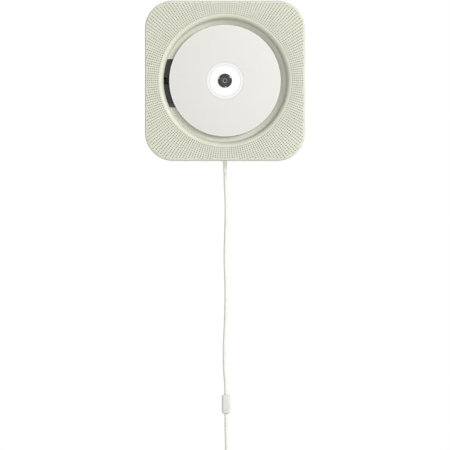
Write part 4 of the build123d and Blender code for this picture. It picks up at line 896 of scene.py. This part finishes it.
def rowTree(material):  # bores radial rows of small tapered holes, deeper in front of the two speakers
    tree, known = newTree("radialRows", rows)
    overshoot = 0.2  # how far the cutters stand out of the face, in mm
    workOut(tree, known, [
        ("placed", "ADD", "index", 0.5), ("rowShare", "DIVIDE", "placed", "Ring count"),
        ("row", "FLOOR", "rowShare"), ("before", "MULTIPLY", "row", "Ring count"),
        ("ring", "SUBTRACT", "index", "before"), ("rowStep", "DIVIDE", 2 * math.pi, "Row count"),
        ("angle", "MULTIPLY", "row", "rowStep"), ("ringMiddle", "ADD", "ring", 0.5),
        ("ringReach", "MULTIPLY", "ringMiddle", "Ring pitch"), ("radius", "ADD", "First ring", "ringReach"),
        ("cosine", "COSINE", "angle"), ("sine", "SINE", "angle"),
        ("x", "MULTIPLY", "radius", "cosine"), ("z", "MULTIPLY", "radius", "sine"),
        ("sizeX", "ABSOLUTE", "x"), ("sizeZ", "ABSOLUTE", "z"),
        ("straight", "SUBTRACT", "Half width", "Corner"),
        ("overX", "SUBTRACT", "sizeX", "straight"), ("overZ", "SUBTRACT", "sizeZ", "straight"),
        ("pastX", "MAXIMUM", "overX", 0.0), ("pastZ", "MAXIMUM", "overZ", 0.0),
        ("aside", "SUBTRACT", "sizeX", "Speaker offset"), ("lower", "ADD", "z", "Speaker offset"),
    ])
    for name, x, z in (("cornerReach", "pastX", "pastZ"), ("speakerReach", "aside", "lower")):
        across = addNode(tree, "ShaderNodeCombineXYZ", {}, {"X": known[x], "Z": known[z]})
        reach = addNode(tree, "ShaderNodeVectorMath", {"operation": "LENGTH"}, {0: across})
        known[name] = reach.outputs["Value"]
    workOut(tree, known, [
        ("larger", "MAXIMUM", "overX", "overZ"), ("inside", "MINIMUM", "larger", 0.0),
        ("reach", "ADD", "cornerReach", "inside"), ("edge", "SUBTRACT", "reach", "Corner"),
        ("border", "ADD", "Plain border", "Hole length"), ("limit", "SUBTRACT", 0.0, "border"),
        ("outside", "GREATER_THAN", "edge", "limit"),
        ("through", "LESS_THAN", "speakerReach", "Speaker radius"),
        ("growthChange", "SUBTRACT", "Through growth", 1.0), ("grown", "MULTIPLY", "through", "growthChange"),
        ("growth", "ADD", 1.0, "grown"), ("stretchChange", "SUBTRACT", "Through stretch", 1.0),
        ("stretched", "MULTIPLY", "through", "stretchChange"), ("stretch", "ADD", 1.0, "stretched"),
        ("level", "SUBTRACT", -overshoot, "Face level"), ("turnBack", "SUBTRACT", 0.0, "angle"),
        ("length", "MULTIPLY", "growth", "Hole length"), ("width", "MULTIPLY", "growth", "Hole width"),
        ("count", "MULTIPLY", "Row count", "Ring count"), ("depth", "ADD", "Hole depth", overshoot),
    ])
    place = addNode(tree, "ShaderNodeCombineXYZ", {}, {"X": known["x"], "Y": known["level"], "Z": known["z"]})
    size = addNode(tree, "ShaderNodeCombineXYZ", {}, {
        "X": known["length"], "Y": known["width"], "Z": known["stretch"]})
    turn = addNode(tree, "ShaderNodeCombineXYZ", {}, {"X": math.radians(-90), "Y": known["turnBack"]})
    points = addNode(tree, "GeometryNodePoints", {}, {"Count": known["count"], "Position": place})
    for name, vector in (("size", size), ("turn", turn)):
        points = addNode(tree, "GeometryNodeStoreNamedAttribute", {"data_type": "FLOAT_VECTOR", "Name": name},
                         {"Geometry": points, "Value": vector})
    kept = addNode(tree, "GeometryNodeDeleteGeometry", {}, {
        "Geometry": points, "Selection": known["outside"]})
    sizes, turns = (
        addNode(tree, "GeometryNodeInputNamedAttribute", {"data_type": "FLOAT_VECTOR", "Name": name})
        for name in ("size", "turn"))
    cutter = addNode(tree, "GeometryNodeMeshCone", {"Vertices": 8, "Radius Bottom": 1.0, "Radius Top": 0.8},
                     {"Depth": known["depth"]})
    cutters = addNode(tree, "GeometryNodeInstanceOnPoints", {}, {
        "Points": kept, "Instance": cutter, "Scale": sizes, "Rotation": turns})
    solid = addNode(tree, "GeometryNodeRealizeInstances", {}, {"Geometry": cutters})
    shrink = addNode(tree, "GeometryNodeTransform", {"Scale": (mm, mm, mm)}, {"Geometry": solid})
    bored = addNode(tree, "GeometryNodeMeshBoolean", {"operation": "DIFFERENCE", "solver": "MANIFOLD"}, {
        "Mesh 1": known["Geometry"], "Mesh 2": shrink})
    return endTree(tree, bored, material)


def makeFrontPanel():
    piece = newPiece("frontShell", shellMesh())
    cutAway(piece, openingsMesh())
    runTree(piece, rowTree(materials["case_plastic"]), rows)
    settle(piece, "front_panel")
    print("front panel:", len(piece.data.polygons), "faces")


# ---- keys on the upper edge
keys = {
    "level": 22.0,
    "length": 11.0,
    "width": 5.0,
    "flange": 1.2,
    "flangeEdge": 0.2,
    "flangeTop": 83.6,
    "edgeRound": 0.45,
    "domeInsets": (1.3, 2.0),
    "domeHeights": (0.1, 0.02),  # below the top: the edge, and halfway in
    "symbolDepth": 0.3,
    "symbolHeight": 2.3,
    "stroke": 0.45,
    "arrow": 1.5,
    "spacing": 0.28,
    "symbols": {
        "skip_back_button": "back",
        "skip_forward_button": "forward",
        "volume_down_button": "less",
        "volume_up_button": "more",
    },
}


def symbolOutlines(kind):
    k = keys
    half, stroke = k["symbolHeight"] / 2, k["stroke"] / 2
    if kind == "less":
        return [[(-half, -stroke), (half, -stroke), (half, stroke), (-half, stroke)]]
    if kind == "more":
        return [[(-half, -stroke), (-stroke, -stroke), (-stroke, -half), (stroke, -half), (stroke, -stroke),
                 (half, -stroke), (half, stroke), (stroke, stroke), (stroke, half), (-stroke, half),
                 (-stroke, stroke), (-half, stroke)]]
    way = -1 if kind == "back" else 1
    reach = k["arrow"] + k["spacing"]
    outlines = [[(way * start, -half), (way * (start + k["arrow"]), 0), (way * start, half)]
                for start in (-reach, 0)]
    stop = way * (reach + k["stroke"] / 2 - k["spacing"] / 2)
    bar = [(stop - stroke, -half), (stop + stroke, -half), (stop + stroke, half), (stop - stroke, half)]
    return outlines + [bar]


def makeKey(name, kind):
    k = keys
    low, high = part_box(name)
    x, foot, top = (low.x + high.x) / 2 / mm, low.z / mm, high.z / mm

    def outline(outset):
        return slotOutline(x, k["level"], k["length"] + 2 * outset, k["width"] + 2 * outset)
    shape = bmesh.new()
    skin(shape, uprightLoops(
        [(outline(k["flange"]), foot), (outline(k["flange"]), k["flangeTop"] - k["flangeEdge"]),
         (outline(k["flange"] - k["flangeEdge"]), k["flangeTop"]), (outline(0), k["flangeTop"])]
        + [(outline(-inset), top - k["domeHeights"][0] - drop) for inset, drop in edgeSteps(k["edgeRound"])]
        + [(outline(-k["domeInsets"][0]), top - k["domeHeights"][1]), (outline(-k["domeInsets"][1]), top)]))
    piece = newPiece(name + "Cap", closeMesh(shape, name))
    marks = bmesh.new()
    for symbol in symbolOutlines(kind):
        prism(marks, [(x + a, k["level"] + b) for a, b in symbol], "Z", top - k["symbolDepth"], top + pastCut)
    cutAway(piece, closeMesh(marks, "symbol"))
    settle(piece, name)


makeFrontPanel()
for keyName, keySymbol in keys["symbols"].items():
    makeKey(keyName, keySymbol)
print("keys: four caps with engraved symbols")


# ---- disc, chuck and pickup drive
shaft = {
    "radius": 1.0,
    "drillRadius": 0.62,
    "drillDepth": 2.6,
    "drillTip": 0.05,
    "drillPoint": 0.5,
    "edge": 0.15,
    "divisions": 40,
}
collar = {
    "outer": 2.2,
    "inner": 1.0,
    "edge": 0.15,
    "rimInner": 1.85,
    "rimEdge": 0.05,
    "rimSlope": 0.1,
    "dishDepth": 0.45,
    "dishFall": 0.1,
    "divisions": 64,
}
chuckSprings = {
    "Spring count": 3,
    "First angle": math.radians(36),
    "Start radius": 2.6,
    "Centre X": 0.0,
    "Centre Z": 0.0,
    "Level": 36.2,
    "Coil radius": 0.7,
    "Wire radius": 0.16,
    "Turns": 4.0,
    "Length": 1.6,
    "Steps per turn": 16,
}
returnSpring = {
    "Spring count": 1,
    "First angle": math.radians(90),
    "Start radius": 0.0,
    "Centre X": 0.0,
    "Centre Z": -82.3,
    "Level": 16.0,
    "Coil radius": 4.2,
    "Wire radius": 0.4,
    "Turns": 5.0,
    "Length": 9.8,
    "Steps per turn": 40,
}
screwThread = {
    "Spring count": 1,
    "First angle": 0.0,
    "Start radius": -71.5,
    "Centre X": 0.0,
    "Centre Z": -26.5,
    "Level": 22.5,
    "Coil radius": 1.38,
    "Wire radius": 0.22,
    "Turns": 40.0,
    "Length": 72.8,
    "Steps per turn": 16,
}
screwCore = {
    "radius": 1.35,
    "journalRadius": 0.7,
    "journalLength": 1.8,
    "endRadius": 0.6,
    "endEdge": 0.2,
    "threadEnd": 1.6,
    "divisions": 24,
}


def makeDisc():
    d = disc
    low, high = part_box("disc")
    back, face = -high.y / mm, -low.y / mm
    hole, chamfer, edge = d["holeRadius"], d["holeEdge"], d["edgeRound"]
    profile = [(hole, back + chamfer), (hole + chamfer, back)]
    profile += [(d["radius"] - inset, back + drop) for inset, drop in reversed(edgeSteps(edge, 3))]
    profile += [(d["radius"] - inset, face - drop) for inset, drop in edgeSteps(edge, 3)]
    side = [(d["grooveHalf"], 0), (d["grooveHalf"] - d["grooveSlope"], d["grooveSlopeDepth"]),
            (d["grooveFloor"], d["grooveDepth"])]
    profile += [(d["grooveRadius"] + out, face - deep) for out, deep in side]
    profile += [(d["grooveRadius"] - out, face - deep) for out, deep in reversed(side)]
    profile += [(hole + chamfer, face), (hole, face - chamfer)]
    shape = bmesh.new()
    lathe(shape, profile, "Y", (0, 0), d["divisions"], ring=True)
    settle(meshPiece("compactDisc", shape), "disc", sharp=25)


def makeShaft():
    s = shaft
    low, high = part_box("spindle_shaft")
    back, top = -high.y / mm, -low.y / mm
    shape = bmesh.new()
    outer, edge, drillEnd = s["radius"], s["edge"], top - s["drillDepth"]
    lathe(shape, [
        (outer - edge, back), (outer, back + edge), (outer, top - edge), (outer - edge, top),
        (s["drillRadius"], top), (s["drillRadius"], drillEnd), (s["drillTip"], drillEnd - s["drillPoint"]),
    ], "Y", (0, 0), s["divisions"])
    # the shaft takes darkened steel as painted shade down its drilled end
    settle(meshPiece("drilledShaft", shape), "spindle_shaft", finish=paintedShadeSteel)


def makeCollar():  # thin bright rim round a dish in darkened steel, which paints the shade inside the rim
    c = collar
    low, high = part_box("centre_collar")
    back, top = -high.y / mm, -low.y / mm
    rim = bmesh.new()
    outer, edge, inner, dish = c["outer"], c["edge"], c["rimInner"], top - c["dishDepth"]
    lathe(rim, [
        (c["inner"], back), (outer, back), (outer, top - edge), (outer - edge, top),
        (inner + c["rimEdge"], top), (inner, top - c["rimSlope"]), (inner - c["rimSlope"], dish),
        (c["inner"], dish - c["dishFall"]),
    ], "Y", (0, 0), c["divisions"], ring=True)
    piece = settle(meshPiece("collarRim", rim), "centre_collar")
    piece.data.materials.append(paintedShadeSteel)  # darkened steel as painted shade, on what faces forward inside the rim
    for face in piece.data.polygons:
        reach = math.hypot(face.center.x, face.center.z) / mm
        face.material_index = 1 if reach < c["rimInner"] - 0.02 and face.normal.y < -0.5 else 0


def coilTree(name, values, material):  # wire wound into coils whose axes point outward from one centre
    tree, known = newTree(name, values)
    workOut(tree, known, [
        ("step", "DIVIDE", 2 * math.pi, "Spring count"), ("gone", "MULTIPLY", "index", "step"),
        ("angle", "ADD", "First angle", "gone"), ("cosine", "COSINE", "angle"), ("sine", "SINE", "angle"),
        ("reachX", "MULTIPLY", "Start radius", "cosine"), ("reachZ", "MULTIPLY", "Start radius", "sine"),
        ("x", "ADD", "Centre X", "reachX"), ("z", "ADD", "Centre Z", "reachZ"),
        ("level", "SUBTRACT", 0.0, "Level"), ("tilt", "SUBTRACT", math.pi / 2, "angle"),
    ])
    place = addNode(tree, "ShaderNodeCombineXYZ", {}, {"X": known["x"], "Y": known["level"], "Z": known["z"]})
    turn = addNode(tree, "ShaderNodeCombineXYZ", {}, {"Y": known["tilt"]})
    points = addNode(tree, "GeometryNodePoints", {}, {
        "Count": known["Spring count"], "Position": place})
    turned = addNode(tree, "GeometryNodeStoreNamedAttribute", {"data_type": "FLOAT_VECTOR", "Name": "turn"},
                     {"Geometry": points, "Value": turn})
    turns = addNode(tree, "GeometryNodeInputNamedAttribute", {"data_type": "FLOAT_VECTOR", "Name": "turn"})
    spiral = addNode(tree, "GeometryNodeCurveSpiral", {}, {
        "Resolution": known["Steps per turn"], "Rotations": known["Turns"], "Height": known["Length"],
        "Start Radius": known["Coil radius"], "End Radius": known["Coil radius"]})
    section = addNode(tree, "GeometryNodeCurvePrimitiveCircle", {"Resolution": 8},
                      {"Radius": known["Wire radius"]})
    wire = addNode(tree, "GeometryNodeCurveToMesh", {"Fill Caps": True}, {
        "Curve": spiral, "Profile Curve": section})
    wound = addNode(tree, "GeometryNodeInstanceOnPoints", {}, {
        "Points": turned, "Instance": wire, "Rotation": turns})
    solid = addNode(tree, "GeometryNodeRealizeInstances", {}, {"Geometry": wound})
    shrink = addNode(tree, "GeometryNodeTransform", {"Scale": (mm, mm, mm)}, {"Geometry": solid})
    both = addNode(tree, "GeometryNodeJoinGeometry", {}, {"Geometry": shrink})
    tree.links.new(known["Geometry"], both.inputs["Geometry"])
    return endTree(tree, both, material)


def makeCoils():
    steel = materials["bright_steel"]
    springs = {}
    for name, node, values in (("ballSprings", "chuck_springs", chuckSprings),
                               ("switchReturnSpring", "switch_spring", returnSpring)):
        springs[node] = newPiece(name, bpy.data.meshes.new(name))
        runTree(springs[node], coilTree(name, values, steel), values)
        settle(springs[node], node, sharp=60)
    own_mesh(springs["switch_spring"])
    s = screwCore
    low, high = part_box("lead_screw")
    start, end, journal = low.x / mm, high.x / mm, s["journalRadius"]
    core = bmesh.new()
    lathe(core, [
        (s["endRadius"], start), (journal, start + s["endEdge"]), (journal, start + s["journalLength"]),
        (s["radius"], start + s["journalLength"]), (s["radius"], s["threadEnd"]), (journal, s["threadEnd"]),
        (journal, end - s["endEdge"]), (s["endRadius"], end),
    ], "X", (screwThread["Level"], screwThread["Centre Z"]), s["divisions"])
    piece = meshPiece("threadedScrew", core)
    runTree(piece, coilTree("screwThread", screwThread, steel), screwThread)
    settle(piece, "lead_screw", sharp=60)


makeDisc()
makeShaft()
makeCollar()
makeCoils()
print("drive: disc, drilled shaft, springs and threaded screw")

# ---- cover, bracket and deck, with their edges broken
edges = {
    "rear_cover": ("rearShell", 0.35),
    "wall_bracket": ("hookPlate", 0.3),
    "mechanism_deck": ("deckPlate", 0.25),
    "pickup_sled": ("opticalSled", 0.2),
    "screw_cover": ("screwStrip", 0.15),
}
for edgeNode, (edgeName, edgeWidth) in edges.items():
    softened(edgeName, edgeNode, edgeWidth)
print("edges: cover, bracket, deck and sled are softened")
